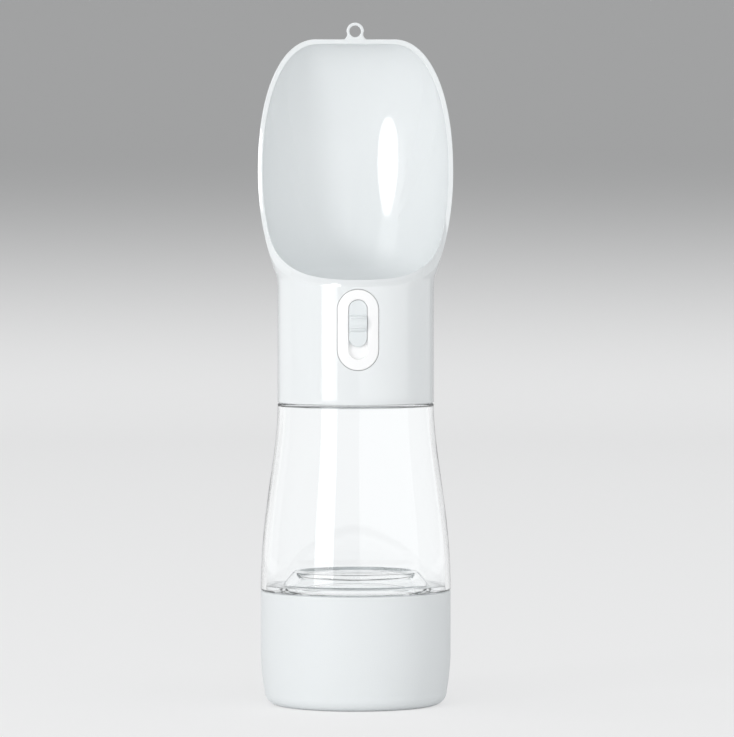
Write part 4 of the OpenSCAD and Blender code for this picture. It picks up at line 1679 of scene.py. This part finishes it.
@dataclass(frozen=True)
class SoftBox:
    """A soft lamp, which either shows in reflections or lights matt surfaces."""

    name: str
    place: Point  # where it hangs, in metres
    width: float  # in metres
    height: float
    watts: float
    aim: Point = (0.0, 0.0, 0.15)  # the point that it faces
    mirrored: bool = True  # shows in reflections only, else lights matt surfaces only
    shape: str = "RECTANGLE"

    def build(self) -> None:
        """Hangs the lamp."""
        data = bpy.data.lights.new(self.name, "AREA")
        data.shape = self.shape
        data.size, data.size_y = self.width, self.height
        data.energy = self.watts
        lamp = bpy.data.objects.new(self.name, data)
        stand(lamp, self.place, self.aim)
        lamp.visible_camera = False
        lamp.visible_glossy = self.mirrored
        lamp.visible_diffuse = not self.mirrored
        lamp.visible_transmission = False


LAMPS = (
    SoftBox("window_key", (-1.03, -1.08, 0.20), 0.28, 0.36, 5.1, aim=(0, 0, 0.17), mirrored=False),
    SoftBox("soft_fill", (-0.36, -1.52, 0.50), 1.4, 0.9, 3.5, mirrored=False),
    SoftBox("right_fill", (1.18, -0.98, 0.50), 1.2, 0.9, 1.9, mirrored=False),
    SoftBox("left_kicker", (-1.3, 0.25, 0.3), 0.8, 1.0, 1.6, mirrored=False),
    SoftBox("tall_strip", (-0.906, -1.06, 0.25), 0.60, 1.5, 10.0),
    SoftBox("side_panel", (1.0, -1.11, 0.25), 2.4, 1.5, 13.0),
    SoftBox("tail_panel", (1.35, 0.47, 0.25), 1.6, 1.5, 2.8),
    SoftBox("rim_panel", (-1.04, 0.94, 0.25), 1.0, 1.5, 2.0),
    SoftBox(
        "bowl_oval", (-0.045, -0.06, 0.222), 0.042, 0.040, 0.072, aim=(-0.045, 0.03, 0.222),
        shape="ELLIPSE",
    ),
)


@dataclass(frozen=True)
class BackdropPaper(Finish):
    """Pale paper with painted shade that darkens it with height, and a white card to what looks
    through plastic.
    """

    floor_colour: Colour = (0.93, 0.932, 0.934)  # of the floor and the backdrop's foot, linear
    shaded_top_colour: Colour = (0.41, 0.412, 0.414)  # painted shade: colour of the backdrop above, linear
    card_colour: Colour = (0.97, 0.975, 0.98)  # of the card that clear plastic shows
    pale_to: float = 0.02  # height in metres up to which it is pale
    shade_full_from: float = 0.25  # height from which the painted shade is full
    lift: float = 0.6  # share of its own colour that the camera sees in any light

    def wire(self, tree: Tree, shader: Node) -> None:
        """Wires the nodes of the material round its shader."""
        height = add_node(tree, "SeparateXYZ", {0: add_node(tree, "TexCoord")["Object"]})["Z"]
        span = {"Value": height, "From Min": self.pale_to, "From Max": self.shade_full_from}
        # Painted shade: the paper's colour runs from pale at the floor to darker up the backdrop,
        # in place of light falling off.
        ramp = add_node(tree, "MapRange", span, interpolation_type="SMOOTHSTEP")["Result"]
        both = {0: ramp, 6: (*self.floor_colour, 1), 7: (*self.shaded_top_colour, 1)}
        tint = add_node(tree, "Mix", both, data_type="RGBA")[2]
        feed(shader, {"Base Color": tint, "Roughness": 0.9, "Specular IOR Level": 0.1})
        paper = shader.outputs[0]
        lifted = mix_shaders(tree, self.lift, paper, add_node(tree, "Emission", {"Color": tint})[0])
        card = add_node(tree, "Emission", {"Color": (*self.card_colour, 1)})[0]
        path = add_node(tree, "LightPath")
        seen = mix_shaders(tree, path["Is Camera Ray"], paper, lifted)
        either = mix_shaders(tree, path["Is Transmission Ray"], seen, card)
        feed(tree.nodes["Material Output"], {"Surface": either})


@dataclass
class Studio:
    """Floor with backdrop, lamps, world and camera."""

    floor_size: Point = (5.6, 4.9, 1.0)  # in metres
    floor_y: float = -0.15  # the floor's middle
    sweep_r: float = 0.5  # radius of the sweep from the floor into the wall
    sweep_steps: int = 15
    wall_h: float = 1.7  # height of the wall above the sweep
    world_level: float = 0.67  # strength of the even light all round
    camera_place: Point = (-0.0608, -2.0491, 0.200)
    camera_aim: Point = (0.0045, 0.0, 0.1342)
    lens: float = 251.0  # focal length in millimetres

    def build_floor(self) -> None:
        """Builds the floor, whose back edge sweeps up into the backdrop."""
        bpy.ops.mesh.primitive_plane_add(size=1, location=(0, self.floor_y, 0))
        bpy.context.active_object.scale = self.floor_size
        floor = settle("floor_sweep")
        with edit(floor, Part.EDGES, lambda p, way: p.y * MM > 1.0):
            for k in range(self.sweep_steps):
                a, b = (math.pi / 2 * (k + i) / self.sweep_steps for i in (0, 1))
                back, up = math.sin(b) - math.sin(a), math.cos(a) - math.cos(b)
                extrude((0, self.sweep_r * back, self.sweep_r * up))
            extrude((0, 0, self.wall_h))
        dress(floor, BackdropPaper("backdrop_paper"))
        smooth(floor, 60)

    def build_world(self) -> None:
        """Lights the scene evenly from all round."""
        world = bpy.data.worlds.new("studio_world")
        bpy.context.scene.world = world
        world.use_nodes = True
        even = {"Color": (0.985, 0.993, 1.0, 1), "Strength": self.world_level}
        feed(world.node_tree.nodes["Background"], even)

    def build_camera(self) -> None:
        """Sets the camera up at the photograph's viewing angle."""
        data = bpy.data.cameras.new("view")
        data.lens = self.lens
        data.sensor_width = 36.0
        data.sensor_fit = "AUTO"
        data.clip_end = 20.0
        camera = bpy.data.objects.new("view", data)
        stand(camera, self.camera_place, self.camera_aim)
        bpy.context.scene.camera = camera

    def build(self) -> None:
        """Builds the whole studio: lamps for matt surfaces and lamps seen in reflections."""
        self.build_floor()
        self.build_world()
        for lamp in LAMPS:
            lamp.build()
        self.build_camera()
        bpy.context.scene.view_settings.view_transform = "Standard"


def write_sizes() -> None:
    """Brings the scene's transforms up to date."""
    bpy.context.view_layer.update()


def main() -> None:
    """Builds the pieces in order and reports each."""
    logging.basicConfig(level=logging.INFO, format="%(message)s")
    FoodCup().build()
    ClearBottle().build()
    BowlHead().build()
    PushButton().build()
    LockSlider().build()
    ReturnSpring().build()
    ValveInside().build()
    Studio().build()
    write_sizes()


if __name__ == "__main__":
    main()
